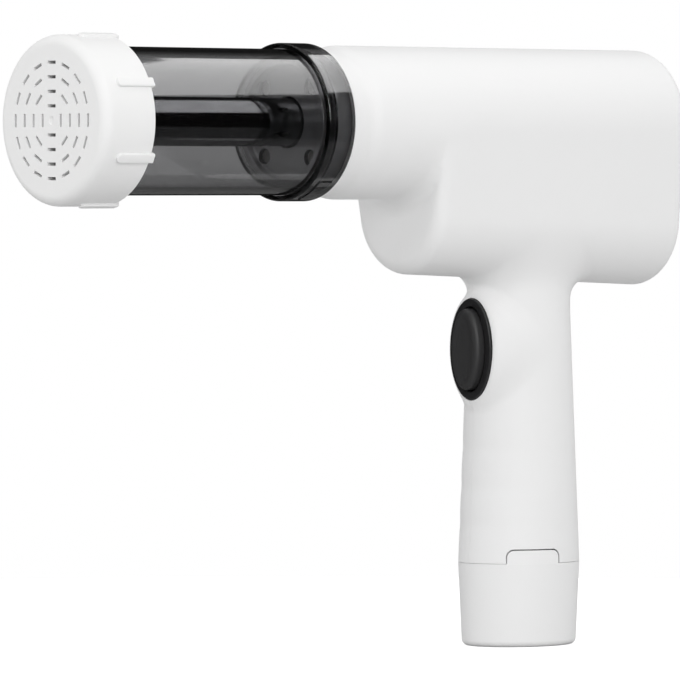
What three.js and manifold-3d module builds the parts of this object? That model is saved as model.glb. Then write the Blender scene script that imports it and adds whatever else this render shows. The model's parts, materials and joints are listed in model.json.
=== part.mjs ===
// Handheld electric pasta maker, standing upright on its battery pack.
// Millimetres, +Z up. The barrel's axis is level and points to -X, and the grip stands on
// the origin, which is the centre of the flat underside of the battery pack.

import * as THREE from 'three';
import { mergeVertices } from 'three/addons/utils/BufferGeometryUtils.js';
import Module from 'manifold-3d';

const wasm = await Module();
wasm.setup();

// Clearances: between neighbours that touch, and between those that slide. A cutting tool
// passes the faces that it cuts by the overrun, and joined stretches reach into each other.
const fit = 0.3;
const slideFit = 0.4;
const overrun = 1;
const sink = 0.4;

// Smoky tube with its bayonet lock ring
const tubeRadius = 30;
const tubeWall = 2.8;
const visibleTube = 92.7;
const ringWidth = 14.8;
const ringWall = 2.5;
const ringPadHeight = 0.5;
const ringPadLength = 7;
const ringPadWidth = 15;
const ringPadDegrees = 152;
const lugSweepDegrees = 40;
const lugCount = 3;
const lugHeight = 3;
const lugLength = 3.6;

// Die cap, its seal and its thread
const capLength = 25.7;
const capWall = 2.8;
const capFillet = 4.4;
const dieThickness = 4.2;
const sealThickness = 1.6;
const capRibs = 7;
const capRibWidth = 4;
const capRibProud = 1.3;
const capRibSetback = 10;
const capRibOverhang = 1.2;
const slotRings = 4;
const slotPitch = 5.8;
const slotsPerRing = 4;
const slotLength = 5.3;
const slotWidth = 1.3;
const threadLead = 6;
const threadHeight = 1.2;
const threadTurns = 2;

// Housing: a round body that swells downwards round the gears and the motor
const noseReach = 118.8;
const tailReach = 68;
const wall = 2.6;
const ringStep = 0.7;
const collarLength = 9.3;
const collarRamp = 6.5;
const collarStep = 0.6;
const tailFillet = 3;
const bellyReach = 68.7;
const bellyRadius = 26.9;
const bellySwell = 1.6;
const bellyFall = 4.1;
const bellyFillet = 5.75;
const throatFillet = 8;
const sharpFillet = 0.4;
const shellSplit = 0.3;
const ribThickness = 1.6;
const ribHeight = 1.8;
const ribReach = 8;

// Grip, from the seam over the battery pack up to the body
const gripLength = 119.1;
const gripNeckDrop = 13.4;
const gripNeckHalfLength = 23.7;
const gripSeamHalfLength = 28;
const gripFootHalfLength = 26.3;
const gripWidthShare = 0.8;
const gripFlare = 8;

// Battery pack
const seamHeight = 35.3;
const footFillet = 2.5;
const packWall = 2.4;
const tabRise = 5.4;
const tabWidth = 22.6;
const tabCorner = 5;
const tabGap = 0.8;
const tabLeanDegrees = 21;
const cellRadius = 9.2;
const cellLength = 65;
const caseWall = 1.2;
const caseRoof = 3.4;
const deckThickness = 2.5;
const contactThickness = 1;
const contactWidth = 6;
const bladeThickness = 2;
const bladeLength = 3;
const socketWidth = 9;
const socketHeight = 4;
const socketDepth = 5;
const socketWall = 1;

// Contact block over the pack
const shelfThickness = 2.5;
const riserHeight = 3.2;

// Button
const buttonDrop = 29.1;
const bezelWidth = 26;
const bezelHeight = 43.2;
const bezelRing = 3.75;
const bezelProud = 3.7;
const bezelDepth = 13;
const seatRim = 0.3;
const seatSink = 1.2;
const earThickness = 2;
const earWall = 2;
const buttonGap = 0.7;
const buttonProud = 3.8;
const buttonBack = 3.4;
const buttonEdge = 2.2;
const rockerPivotDepth = 8.2;
const rockerPinRadius = 1.2;
const rockerArm = 12;
const nubSize = 4;

// Controls behind the button
const boardThickness = 1.6;
const boardHeight = 50;
const boardWidth = 24;
const boardRoom = 3;
const railHeight = 6;
const railInset = 7;
const railHold = 1;
const switchDepth = 5.5;
const switchHeight = 9;
const switchWidth = 7;
const switchTravel = 1;
const plungerLength = 1;
const leadRadius = 1.3;
const leadStart = 8.5;
const leadSide = 17;

// Front plate and the bulkhead that it is screwed to
const plateSetback = 0.4;
const rimWidth = 3;
const rimDepth = 3.3;
const plateFloor = 4.5;
const plateLip = 1.5;
const screwCircle = 20.2;
const screwCount = 4;
const screwRadius = 1.6;
const screwHeadRadius = 3.1;
const screwHeadHeight = 2;
const screwSinkDepth = 4;
const screwBite = 5;
const bossWall = 1.9;
const bulkheadThickness = 6;
const bulkheadSetback = 5.6;

// Push rod, its guides and the piston
const rodRadius = 10;
const rodWall = 2;
const rodPlug = 19;
const bushingWall = 2.2;
const rodSealLength = 2;
const pistonLength = 12.8;
const pistonFloor = 3;
const pistonSealWidth = 3.5;
const pistonSealDepth = 2;
const rodTipRadius = 6;
const rodTipLength = 7.3;
const carriageLength = 8;
const carriageHalfHeight = 6;
const carriageLip = 1;
const carriageEarWall = 2;
const nutFlange = 2.7;
const nutSpigot = 9;
const guideWeb = 5.6;
const guideRadius = 2.5;
const stroke = 98;

// Lead screw, gears and motor
const screwCoreRadius = 4;
const screwCrestRadius = 5.2;
const driveLead = 8;
const screwTipOverhang = 1.5;
const gearModule = 1.5;
const screwGearTeeth = 30;
const pinionTeeth = 18;
const gearWidth = 8;
const gearSideGap = 1;
const frameThickness = 4;
const gearPlateThickness = 3.5;
const pinionShaftRadius = 3;
const bearingRadius = 11;
const bearingLength = 8;
const bearingHubWall = 2.7;
const retainerLength = 1.2;
const retainerRadius = 7;
const gearboxRadius = 16;
const gearboxLength = 12;
const motorRadius = 18;
const terminalSize = 4;
const terminalDrop = 12;

// Screws between the shell halves
const shellScrewRadius = 1.5;
const shellScrewHeadRadius = 2.8;
const shellScrewHeadLength = 2;
const shellScrewLength = 16;
const shellBossWall = 1.4;
const shellBossInset = 10;
const gripScrewReach = 14;
const shellScrewSide = 6;

// Shares of a thread's lead that its ridge takes at the root and at the crest, and shares of a
// gear's tooth pitch that a tooth takes at its root and at its tip
const screwRidgeShares = [0.52, 0.36];
const nutRidgeShares = [0.5, 0.36];
const tubeRidgeShares = [0.36, 0.2];
const capRidgeShares = [0.3, 0.17];
const toothRootShare = 0.47;
const toothTipShare = 0.23;
const addendumShare = 0.8;
const dedendumShare = 1.15;

// Facets
const roundSteps = 32;
const mediumSteps = 20;
const smallSteps = 10;
const threadSteps = 8;
const filletSteps = 3;
const arcSteps = 12;
const bodySpans = 3;

// Sizes that follow from the ones above
const ringRadius = tubeRadius + ringWall;
const barrelRadius = ringRadius - ringStep;
const tubeBore = tubeRadius - tubeWall;
const capBore = tubeRadius + threadHeight + slideFit;
const capRadius = capBore + capWall;
const shaftSpacing = gearModule * (screwGearTeeth + pinionTeeth) / 2;
const bellyDrop = shaftSpacing;
const guideSpacing = rodRadius + fit + wall + guideWeb + guideRadius;
const earDepth = rockerPinRadius + earWall;
const shellBossRadius = shellScrewHeadRadius + fit + shellBossWall;

// Places along the barrel, all from the grip's axis
const ringFront = -noseReach - ringWidth;
const capRear = ringFront - visibleTube;
const capFront = capRear - capLength;
const dieInside = capFront + dieThickness;
const tubeFront = dieInside + sealThickness + 2 * fit;
const tubeRear = -noseReach - 2 * lugLength - slideFit - overrun;
const plateFront = ringFront + plateSetback;
const plateFloorFront = plateFront + rimDepth;
const bulkheadFront = -noseReach + bulkheadSetback;
const bulkheadRear = bulkheadFront + bulkheadThickness;
const pistonFront = tubeFront + fit;
const pistonRear = pistonFront + pistonLength;
const carriageFront = bulkheadRear + slideFit;
const carriageRear = carriageFront + carriageLength;
const rodRear = carriageRear - carriageLip - 2 * fit - nutFlange;
const nutFront = rodRear - nutSpigot;
const screwFront = nutFront - screwTipOverhang;
const screwRidgeFront = screwFront + driveLead / 4;
const gearPlateFront = carriageRear + stroke + slideFit;
const gearPlateRear = gearPlateFront + gearPlateThickness;
const gearFront = gearPlateRear + gearSideGap;
const gearRear = gearFront + gearWidth;
const frameFront = gearRear + gearSideGap;
const frameRear = frameFront + frameThickness;
const bearingRear = frameRear + fit + bearingLength;
const gearboxFront = frameRear + fit;
const gearboxRear = gearboxFront + gearboxLength;
const motorRear = tailReach - wall - 2 * fit;

// Places up the grip
const gripTop = seamHeight + gripLength;
const barrelHeight = gripTop + bellyAt(0).drop + bellyAt(0).radius;
const gripNeckHeight = gripTop - gripNeckDrop;
const buttonHeight = gripTop - buttonDrop;
const leadPass = gripTop + wall + 2 * leadRadius + fit;
const packTop = seamHeight - fit;
const caseBottom = packWall + fit;
const caseTop = caseBottom + cellLength + caseRoof;
const bladeBottom = caseTop + contactThickness + 2 * fit;
const shelfBottom = bladeBottom + bladeLength;
const shelfTop = shelfBottom + shelfThickness;

// Places behind the button
const bezelFront = -gripHalfLength(buttonHeight) - bezelProud;
const rockerPivot = bezelFront + rockerPivotDepth;
const boardFront = bezelFront + bezelDepth + bezelProud + switchTravel + switchDepth + boardRoom;
const boardRear = boardFront + boardThickness;

// Solids

function signedVolume(positions, faces) {
  let six = 0;
  const corner = (index) => new THREE.Vector3().fromArray(positions, faces[index] * 3);
  for (let i = 0; i < faces.length; i += 3) {
    six += corner(i).dot(corner(i + 1).cross(corner(i + 2)));
  }
  return six;
}

// A closed geometry, with its shared vertices merged and its faces turned outwards, as a solid.
function solidOf(geometry) {
  const bare = geometry.index ? geometry.toNonIndexed() : geometry.clone();
  bare.deleteAttribute('normal');
  bare.deleteAttribute('uv');
  const merged = mergeVertices(bare);
  const vertProperties = new Float32Array(merged.attributes.position.array);
  const index = merged.index.array;
  const faces = [];
  for (let i = 0; i < index.length; i += 3) {
    const [a, b, c] = [index[i], index[i + 1], index[i + 2]];
    if (a !== b && b !== c && c !== a) {
      faces.push(a, b, c);
    }
  }
  if (signedVolume(vertProperties, faces) < 0) {
    faces.reverse();
  }
  const triVerts = new Uint32Array(faces);
  return new wasm.Manifold(new wasm.Mesh({ numProp: 3, vertProperties, triVerts }));
}

function geometryOf(solid) {
  const mesh = solid.getMesh();
  const geometry = new THREE.BufferGeometry();
  geometry.setAttribute('position', new THREE.BufferAttribute(mesh.vertProperties, 3));
  geometry.setIndex(new THREE.BufferAttribute(mesh.triVerts, 1));
  geometry.computeVertexNormals();
  return geometry;
}

function joined(first, ...others) {
  return others.reduce((whole, next) => whole.add(next), first);
}

function cutBy(first, ...tools) {
  return tools.reduce((whole, tool) => whole.subtract(tool), first);
}

function place(group, name, solid, material) {
  const mesh = new THREE.Mesh(geometryOf(solid), material);
  mesh.name = name;
  group.add(mesh);
}

function finish(color, roughness, metalness = 0) {
  return new THREE.MeshStandardMaterial({ color, roughness, metalness });
}

// A turned piece about the X axis. The profile is a list of [x, radius]; it closes on itself
// unless both of its ends lie on the axis.
function turned(profile, steps = roundSteps) {
  const points = profile.map(([x, radius]) => new THREE.Vector2(radius, x));
  const first = points[0];
  const last = points[points.length - 1];
  if (first.x > 0 || last.x > 0) {
    points.push(first.clone());
  }
  const geometry = new THREE.LatheGeometry(points, steps);
  geometry.rotateZ(-Math.PI / 2);
  return solidOf(geometry);
}

function ringAlongX(inner, outer, from, to, steps = roundSteps) {
  return turned([[from, inner], [from, outer], [to, outer], [to, inner]], steps);
}

// A round bar along one axis, from one place on it to another.
function bar(axis, radius, from, to, steps = smallSteps) {
  const geometry = new THREE.CylinderGeometry(radius, radius, to - from, steps);
  geometry.translate(0, (from + to) / 2, 0);
  if (axis === 'x') {
    geometry.rotateZ(-Math.PI / 2);
  }
  if (axis === 'z') {
    geometry.rotateX(Math.PI / 2);
  }
  return solidOf(geometry);
}

function block([x0, x1], [y0, y1], [z0, z1]) {
  const geometry = new THREE.BoxGeometry(x1 - x0, y1 - y0, z1 - z0);
  geometry.translate((x0 + x1) / 2, (y0 + y1) / 2, (z0 + z1) / 2);
  return solidOf(geometry);
}

// A skin over rings of equally many points, closed at both ends.
function loft(rings) {
  const count = rings[0].length;
  const points = rings.flat();
  const index = [];
  for (let ring = 0; ring < rings.length - 1; ring += 1) {
    for (let i = 0; i < count; i += 1) {
      const a = ring * count + i;
      const b = ring * count + (i + 1) % count;
      index.push(a, b, b + count, a, b + count, a + count);
    }
  }
  const closeEnd = (start, turn) => {
    const centre = new THREE.Vector3();
    for (let i = 0; i < count; i += 1) {
      centre.addScaledVector(points[start + i], 1 / count);
    }
    points.push(centre);
    for (let i = 0; i < count; i += 1) {
      const pair = [start + i, start + (i + 1) % count];
      index.push(points.length - 1, pair[turn ? 1 : 0], pair[turn ? 0 : 1]);
    }
  };
  closeEnd(0, true);
  closeEnd((rings.length - 1) * count, false);
  const geometry = new THREE.BufferGeometry();
  const positions = points.flatMap((point) => [point.x, point.y, point.z]);
  geometry.setAttribute('position', new THREE.Float32BufferAttribute(positions, 3));
  geometry.setIndex(index);
  return solidOf(geometry);
}

// A flat outline in the plane across the barrel, given as (y, z), made solid from one x to another.
function plateAlongX(shape, from, to, steps = smallSteps) {
  const geometry = new THREE.ExtrudeGeometry(shape, {
    depth: to - from, bevelEnabled: false, curveSegments: steps,
  });
  geometry.translate(0, 0, from);
  const turn = new THREE.Matrix4().makeBasis(
    new THREE.Vector3(0, 1, 0), new THREE.Vector3(0, 0, 1), new THREE.Vector3(1, 0, 0));
  geometry.applyMatrix4(turn);
  return solidOf(geometry);
}

function oval(halfWidth, halfHeight) {
  const shape = new THREE.Shape();
  shape.absellipse(0, 0, halfWidth, halfHeight, 0, 2 * Math.PI);
  return shape;
}

// An oval of points square to the X axis.
function ovalRing(x, halfWidth, halfHeight) {
  const points = [];
  for (let i = 0; i < roundSteps; i += 1) {
    const angle = 2 * Math.PI * i / roundSteps;
    points.push(new THREE.Vector3(x, halfWidth * Math.cos(angle), halfHeight * Math.sin(angle)));
  }
  return points;
}

// Wedges about the X axis, one for each lug.
function lugWedges(reach, from, to) {
  const half = THREE.MathUtils.degToRad(lugSweepDegrees) / 2;
  const length = reach / Math.cos(half) * 2;
  const wedges = [];
  for (let i = 0; i < lugCount; i += 1) {
    const middle = Math.PI / 2 + i * 2 * Math.PI / lugCount;
    const corner = (angle) => new THREE.Vector2(length * Math.cos(angle), length * Math.sin(angle));
    const shape = new THREE.Shape([new THREE.Vector2(), corner(middle - half), corner(middle + half)]);
    wedges.push(plateAlongX(shape, from, to));
  }
  return joined(...wedges);
}

// A right-hand thread's ridge about the X axis, between a root and a crest radius.
function threadRidge(root, crest, widthShares, from, to, lead, steps) {
  const [rootHalf, crestHalf] = widthShares.map((share) => share * lead / 2);
  const rings = [];
  const total = Math.round((to - from) / lead * steps);
  for (let i = 0; i <= total; i += 1) {
    const angle = 2 * Math.PI * i / steps;
    const x = from + lead * i / steps;
    const point = (along, radius) =>
      new THREE.Vector3(x + along, radius * Math.cos(angle), radius * Math.sin(angle));
    rings.push([
      point(-rootHalf, root), point(-crestHalf, crest), point(crestHalf, crest), point(rootHalf, root),
    ]);
  }
  return loft(rings);
}

// A spur gear about the X axis, with straight-flanked teeth. At the mesh angle it has a tooth,
// or with a shift of half a pitch the gap between two.
function gear(teeth, meshAngle, shift, bore, from, to) {
  const pitch = gearModule * teeth / 2;
  const tip = pitch + addendumShare * gearModule;
  const root = pitch - dedendumShare * gearModule;
  const step = 2 * Math.PI / teeth;
  const corners = [];
  for (let i = 0; i < teeth; i += 1) {
    const middle = meshAngle + (i + shift) * step;
    const rootHalf = step * toothRootShare / 2;
    const tipHalf = step * toothTipShare / 2;
    for (const [radius, angle] of [
      [root, middle - rootHalf], [tip, middle - tipHalf],
      [tip, middle + tipHalf], [root, middle + rootHalf],
    ]) {
      corners.push(new THREE.Vector2(radius * Math.cos(angle), radius * Math.sin(angle)));
    }
  }
  const shape = new THREE.Shape(corners);
  if (bore > 0) {
    shape.holes.push(new THREE.Path().absarc(0, 0, bore, 0, 2 * Math.PI));
  }
  return plateAlongX(shape, from, to);
}

// The body's lower circle, which holds the motor, at one place along the barrel
function bellyAt(x) {
  const share = THREE.MathUtils.clamp((x + bellyReach) / (bellyReach + tailReach), 0, 1);
  return { radius: bellyRadius + bellySwell * share, drop: bellyDrop + bellyFall * share };
}

// Outline across the barrel: a circle round its axis, drawn down to the lower circle. With a
// reach of 0 only the upper circle is left.
function bodyOutline(x, reach, lowerInset, inset) {
  const belly = bellyAt(x);
  const upper = barrelRadius - inset;
  const full = belly.radius - inset - lowerInset;
  const lower = upper + reach * (full - upper);
  const lean = Math.asin((upper - full) / belly.drop);
  const points = [];
  for (let i = 0; i <= arcSteps; i += 1) {
    const angle = -lean + (Math.PI + 2 * lean) * i / arcSteps;
    points.push([upper * Math.cos(angle), upper * Math.sin(angle)]);
  }
  for (let i = 0; i <= arcSteps; i += 1) {
    const angle = Math.PI + lean + (Math.PI - 2 * lean) * i / arcSteps;
    points.push([lower * Math.cos(angle), lower * Math.sin(angle) - belly.drop * reach]);
  }
  return points;
}

// A plate across the housing's inside, shaped to it
function bodyPlate(from, to, outline) {
  return plateAlongX(new THREE.Shape(outline.map(([y, z]) => new THREE.Vector2(y, z))), from, to);
}

function framePlate(from, to) {
  return bodyPlate(from, to, bodyOutline((from + to) / 2, 1, 0, wall + fit));
}

function bodyRing(x, reach, lowerInset, inset, outlineX = x) {
  return bodyOutline(outlineX, reach, lowerInset, inset)
    .map(([y, z]) => new THREE.Vector3(x, y, barrelHeight + z));
}

// The housing's body as a solid, drawn in by the inset: 0 gives its outside, with the collar.
function bodySolid(inset) {
  const frontFillet = Math.max(bellyFillet - inset, sharpFillet);
  const rearFillet = Math.max(tailFillet - inset, sharpFillet);
  const throat = throatFillet + inset;
  const face = -bellyReach + inset;
  const rear = tailReach - inset;
  const faceBelly = bellyAt(face);
  const fullDepth = faceBelly.drop + faceBelly.radius - inset - frontFillet - (barrelRadius - inset);
  const rings = [];
  if (inset > 0) {
    rings.push(bodyRing(-noseReach - overrun, 0, frontFillet, inset, face));
  } else {
    const collarRear = -noseReach + collarLength;
    rings.push(
      bodyRing(-noseReach, 0, frontFillet, collarStep, face),
      bodyRing(collarRear, 0, frontFillet, collarStep, face),
      bodyRing(collarRear + collarRamp, 0, frontFillet, 0, face));
  }
  for (let i = 0; i <= filletSteps; i += 1) {
    const angle = Math.PI / 2 * i / filletSteps;
    const reach = throat * (1 - Math.cos(angle)) / fullDepth;
    rings.push(bodyRing(face - throat * (1 - Math.sin(angle)), reach, frontFillet, inset, face));
  }
  for (let i = 0; i <= filletSteps; i += 1) {
    const angle = Math.PI / 2 * i / filletSteps;
    const x = face + frontFillet * (1 - Math.cos(angle));
    rings.push(bodyRing(x, 1, frontFillet * (1 - Math.sin(angle)), inset));
  }
  for (let i = 1; i < bodySpans; i += 1) {
    const x = THREE.MathUtils.lerp(face + frontFillet, rear - rearFillet, i / bodySpans);
    rings.push(bodyRing(x, 1, 0, inset));
  }
  for (let i = 0; i <= filletSteps; i += 1) {
    const angle = Math.PI / 2 * i / filletSteps;
    const x = rear - rearFillet * (1 - Math.sin(angle));
    rings.push(bodyRing(x, 1, 0, inset + rearFillet * (1 - Math.cos(angle))));
  }
  return loft(rings);
}

// Grip and battery pack outline at one height: an ellipse that tapers both ways from the seam.
function gripHalfLength(z) {
  if (z < seamHeight) {
    return THREE.MathUtils.lerp(gripFootHalfLength, gripSeamHalfLength, z / seamHeight);
  }
  const share = (z - seamHeight) / (gripNeckHeight - seamHeight);
  return THREE.MathUtils.lerp(gripSeamHalfLength, gripNeckHalfLength, Math.min(share, 1));
}

function gripRing(z, inset, spread = 0) {
  const length = gripHalfLength(z);
  const points = [];
  for (let i = 0; i < roundSteps; i += 1) {
    const angle = 2 * Math.PI * i / roundSteps;
    const x = (length + spread - inset) * Math.cos(angle);
    const y = (length * gripWidthShare - inset) * Math.sin(angle);
    points.push(new THREE.Vector3(x, y, z));
  }
  return points;
}

function gripSolid(inset, bottom) {
  const rings = [gripRing(bottom, inset), gripRing(gripNeckHeight, inset)];
  const flareBottom = gripTop - gripFlare;
  for (let i = 0; i <= filletSteps; i += 1) {
    const angle = Math.PI / 2 * i / filletSteps;
    const spread = gripFlare * (1 - Math.cos(angle));
    rings.push(gripRing(flareBottom + gripFlare * Math.sin(angle), inset, spread));
  }
  rings.push(gripRing(gripTop + bellyRadius / 2, inset, gripFlare));
  return loft(rings);
}

// A slice of the grip's inside between two heights, for what stands across it.
function gripSlice(inset, bottom, top) {
  return loft([gripRing(bottom, inset), gripRing(top, inset)]);
}

// Side tabs of the battery pack, and with a gap the notches that they sit in. A tab is an
// arch-topped plate that points straight out from the pack's side, forward of its middle.
function tabPrism(side, gap) {
  const half = tabWidth / 2 + gap;
  const top = tabRise + gap;
  const corner = tabCorner + gap;
  const bottom = -2 * fit;
  const shape = new THREE.Shape();
  shape.moveTo(-half, bottom);
  shape.lineTo(half, bottom);
  shape.lineTo(half, top - corner);
  shape.absarc(half - corner, top - corner, corner, 0, Math.PI / 2, false);
  shape.lineTo(corner - half, top);
  shape.absarc(corner - half, top - corner, corner, Math.PI / 2, Math.PI, false);
  const geometry = new THREE.ExtrudeGeometry(shape, {
    depth: 2 * gripSeamHalfLength, bevelEnabled: false, curveSegments: filletSteps,
  });
  const lean = THREE.MathUtils.degToRad(tabLeanDegrees);
  const outward = new THREE.Vector3(-Math.sin(lean), side * Math.cos(lean), 0);
  const up = new THREE.Vector3(0, 0, 1);
  const along = new THREE.Vector3().crossVectors(up, outward);
  geometry.applyMatrix4(new THREE.Matrix4().makeBasis(along, up, outward));
  const tabOffset = gripSeamHalfLength * Math.sin(lean) * (1 - gripWidthShare);
  geometry.translate(-tabOffset * Math.cos(lean), 0, packTop);
  return solidOf(geometry);
}

// The seat round the bezel: an oval face just behind the bezel's front, whose edge rounds off
// into the grip's sides.
function buttonSeat(inset) {
  const front = bezelFront + seatSink + inset;
  const spread = gripHalfLength(buttonHeight) * gripWidthShare - bezelWidth / 2 - seatRim;
  const rings = [];
  for (let i = 0; i <= filletSteps; i += 1) {
    const angle = Math.PI / 2 * i / filletSteps;
    const proud = seatRim + spread * Math.sin(angle) - inset;
    rings.push(ovalRing(front * Math.cos(angle), bezelWidth / 2 + proud, bezelHeight / 2 + proud));
  }
  return loft(rings).translate([0, 0, buttonHeight]);
}

// Housing halves

const bossTop = barrelHeight + barrelRadius - wall - shellBossInset;
const shellScrewPlaces = [
  [-bellyReach + wall + shellBossInset, barrelHeight - bellyDrop - shellBossInset],
  [-(noseReach + bellyReach) / 2, bossTop],
  [tailReach - wall - shellBossInset, bossTop],
  [gripScrewReach, buttonHeight - shellBossInset],
  [gripScrewReach, gripTop - shellBossInset],
];

function alongY(solid, [x, z]) {
  return solid.translate([x, 0, z]);
}

// Short ribs on both sides of a plate, level with the barrel's axis, that hold it along X.
function ribPair(from, to, outside, inside) {
  const across = [-2 * barrelRadius, 2 * barrelRadius];
  const upright = [barrelHeight - ribReach, barrelHeight + ribReach];
  const slabs = joined(
    block([from - fit - ribThickness, from - fit], across, upright),
    block([to + fit, to + fit + ribThickness], across, upright));
  return slabs.intersect(outside).subtract(inside);
}

// Ribs over and under the shelf of the contact block, at both sides of the grip
function shelfRibs() {
  const rib = (bottom, top) => cutBy(
    gripSlice(wall / 2, bottom, top),
    gripSlice(wall + ribHeight, bottom - overrun, top + overrun));
  const sides = block([-ribReach, ribReach], [-barrelRadius, barrelRadius], [0, barrelHeight]);
  return joined(
    rib(shelfBottom - fit - ribThickness, shelfBottom - fit),
    rib(shelfTop + fit, shelfTop + fit + ribThickness)).intersect(sides);
}

// Rails before and behind the control board, near its top and its bottom
function boardRails() {
  const across = [-bezelWidth, bezelWidth];
  const inset = boardHeight / 2 - railInset - railHeight;
  const rails = [];
  for (const bottom of [-inset - railHeight, inset]) {
    const upright = [buttonHeight + bottom, buttonHeight + bottom + railHeight];
    rails.push(block([boardFront - fit - ribThickness, boardFront - fit], across, upright));
    rails.push(block([boardRear + fit, boardRear + fit + ribThickness], across, upright));
  }
  const halfGap = boardWidth / 2 - railHold;
  const hollow = block([-bezelWidth, bezelWidth], [-halfGap, halfGap], [0, barrelHeight]);
  return joined(...rails).intersect(gripSolid(wall / 2, seamHeight)).subtract(hollow);
}

function housing() {
  const outside = joined(bodySolid(0), gripSolid(0, seamHeight), buttonSeat(0));
  const inside = joined(bodySolid(wall), gripSolid(wall, seamHeight - overrun), buttonSeat(wall));
  const ribOutside = bodySolid(wall / 2);
  const ribInside = bodySolid(wall + ribHeight);
  const plates = [
    [bulkheadFront, bulkheadRear], [gearPlateFront, gearPlateRear], [frameFront, frameRear],
  ];
  const ribs = joined(shelfRibs(), boardRails(),
    ...plates.map(([from, to]) => ribPair(from, to, ribOutside, ribInside)));
  const bosses = joined(...shellScrewPlaces.map((spot) =>
    alongY(bar('y', shellBossRadius, -barrelRadius, barrelRadius), spot)));
  const filled = joined(cutBy(outside, inside), ribs, bosses.intersect(outside));
  const bezelHole = plateAlongX(oval(bezelWidth / 2, bezelHeight / 2), -2 * gripSeamHalfLength,
    boardFront - switchDepth, mediumSteps).translate([0, 0, buttonHeight]);
  const holes = shellScrewPlaces.map((spot) => alongY(joined(
    bar('y', shellScrewRadius + fit, -shellScrewLength / 2 - fit, shellScrewLength),
    bar('y', shellScrewHeadRadius + fit, shellScrewSide, 2 * barrelRadius)), spot));
  return cutBy(filled, bezelHole, ...holes, tabPrism(-1, tabGap), tabPrism(1, tabGap));
}

function addHousing(group) {
  const whole = housing();
  const white = finish(0xeeeeec, 0.38);
  const long = [-2 * noseReach, 2 * tailReach];
  const tall = [-overrun, 2 * barrelHeight];
  place(group, 'housing_left',
    whole.intersect(block(long, [-2 * barrelRadius, -shellSplit / 2], tall)), white);
  place(group, 'housing_right',
    whole.intersect(block(long, [shellSplit / 2, 2 * barrelRadius], tall)), white);
  const steel = finish(0x8c8f93, 0.35, 0.9);
  const seat = shellScrewSide + fit;
  const screw = joined(
    bar('y', shellScrewRadius, -shellScrewLength / 2, seat + sink),
    bar('y', shellScrewHeadRadius, seat, seat + shellScrewHeadLength));
  shellScrewPlaces.forEach((spot, number) => {
    place(group, `shell_screw_${number + 1}`, alongY(screw, spot), steel);
  });
}

// Front plate, bulkhead and what guides the rod

function aroundBarrel(count, radius, startDegrees) {
  const places = [];
  for (let i = 0; i < count; i += 1) {
    const angle = THREE.MathUtils.degToRad(startDegrees) + 2 * Math.PI * i / count;
    places.push([0, radius * Math.cos(angle), radius * Math.sin(angle)]);
  }
  return places;
}

const screwPlaces = aroundBarrel(screwCount, screwCircle, 45);
const guidePlaces = aroundBarrel(2, guideSpacing, 0);

function frontPlate() {
  const outer = tubeBore - slideFit;
  const rim = outer - rimWidth;
  const bore = rodRadius + 2 * fit;
  const sleeve = rodRadius + bushingWall + 2 * fit;
  const rear = bulkheadFront - fit;
  const pocket = plateFloorFront + plateFloor;
  const cup = turned([
    [plateFloorFront, bore], [plateFloorFront, rim], [plateFront, rim], [plateFront, outer],
    [rear, outer], [rear, outer - wall], [pocket, outer - wall], [pocket, sleeve + wall],
    [rear, sleeve + wall], [rear, sleeve], [plateFloorFront + plateLip, sleeve],
    [plateFloorFront + plateLip, bore],
  ]);
  const lugFront = tubeRear + overrun;
  const lugRear = lugFront + lugLength;
  const lugs = ringAlongX(outer - sink, outer + lugHeight, lugFront, lugRear)
    .intersect(lugWedges(tubeRadius, lugFront - overrun, lugRear + overrun));
  const bosses = screwPlaces.map((spot) =>
    bar('x', screwRadius + fit + bossWall, pocket - sink, rear).translate(spot));
  const holes = screwPlaces.map((spot) => joined(
    bar('x', screwHeadRadius + fit, plateFront, plateFloorFront + screwSinkDepth),
    bar('x', screwRadius + fit, plateFront, rear + overrun)).translate(spot));
  return cutBy(joined(cup, lugs, ...bosses), ...holes);
}

function addFrontPlate(group) {
  const gloss = finish(0x18191b, 0.12);
  const steel = finish(0x9a9da1, 0.3, 0.9);
  place(group, 'front_plate', frontPlate(), gloss);
  const headRear = plateFloorFront + screwSinkDepth - fit;
  const screw = joined(
    bar('x', screwHeadRadius, headRear - screwHeadHeight, headRear),
    bar('x', screwRadius, headRear - sink, bulkheadFront + screwBite));
  screwPlaces.forEach((spot, number) => {
    place(group, `plate_screw_${number + 1}`, screw.translate(spot), steel);
  });
  const sealFront = plateFloorFront + plateLip + fit;
  const sealRear = sealFront + rodSealLength;
  const bore = rodRadius + fit;
  const outer = rodRadius + bushingWall + fit;
  place(group, 'rod_seal', ringAlongX(bore, outer, sealFront, sealRear, mediumSteps),
    finish(0x2a2a2a, 0.7));
  place(group, 'rod_bushing', ringAlongX(bore, outer, sealRear + fit, bulkheadRear, mediumSteps),
    finish(0xb08d57, 0.4, 0.8));
  const disc = bodyPlate(bulkheadFront, bulkheadRear,
    bodyOutline(-bellyReach + wall, 0, bellyFillet - wall, wall + fit));
  const sleeve = bar('x', outer + fit, bulkheadFront - overrun, bulkheadRear + overrun, mediumSteps);
  const pilots = screwPlaces.map((spot) =>
    bar('x', screwRadius + fit, bulkheadFront - overrun, bulkheadRear + overrun).translate(spot));
  const sockets = guidePlaces.map((spot) =>
    bar('x', guideRadius + fit, bulkheadFront - overrun, bulkheadRear + overrun).translate(spot));
  place(group, 'front_bulkhead', cutBy(disc, sleeve, ...pilots, ...sockets),
    finish(0x7d8084, 0.45, 0.8));
  guidePlaces.forEach((spot, number) => {
    const guide = bar('x', guideRadius, bulkheadFront + fit, gearPlateRear - fit);
    place(group, `guide_rod_${number + 1}`, guide.translate(spot), steel);
  });
}

// Push rod, piston, carriage and nut: what the drive pushes

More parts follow.
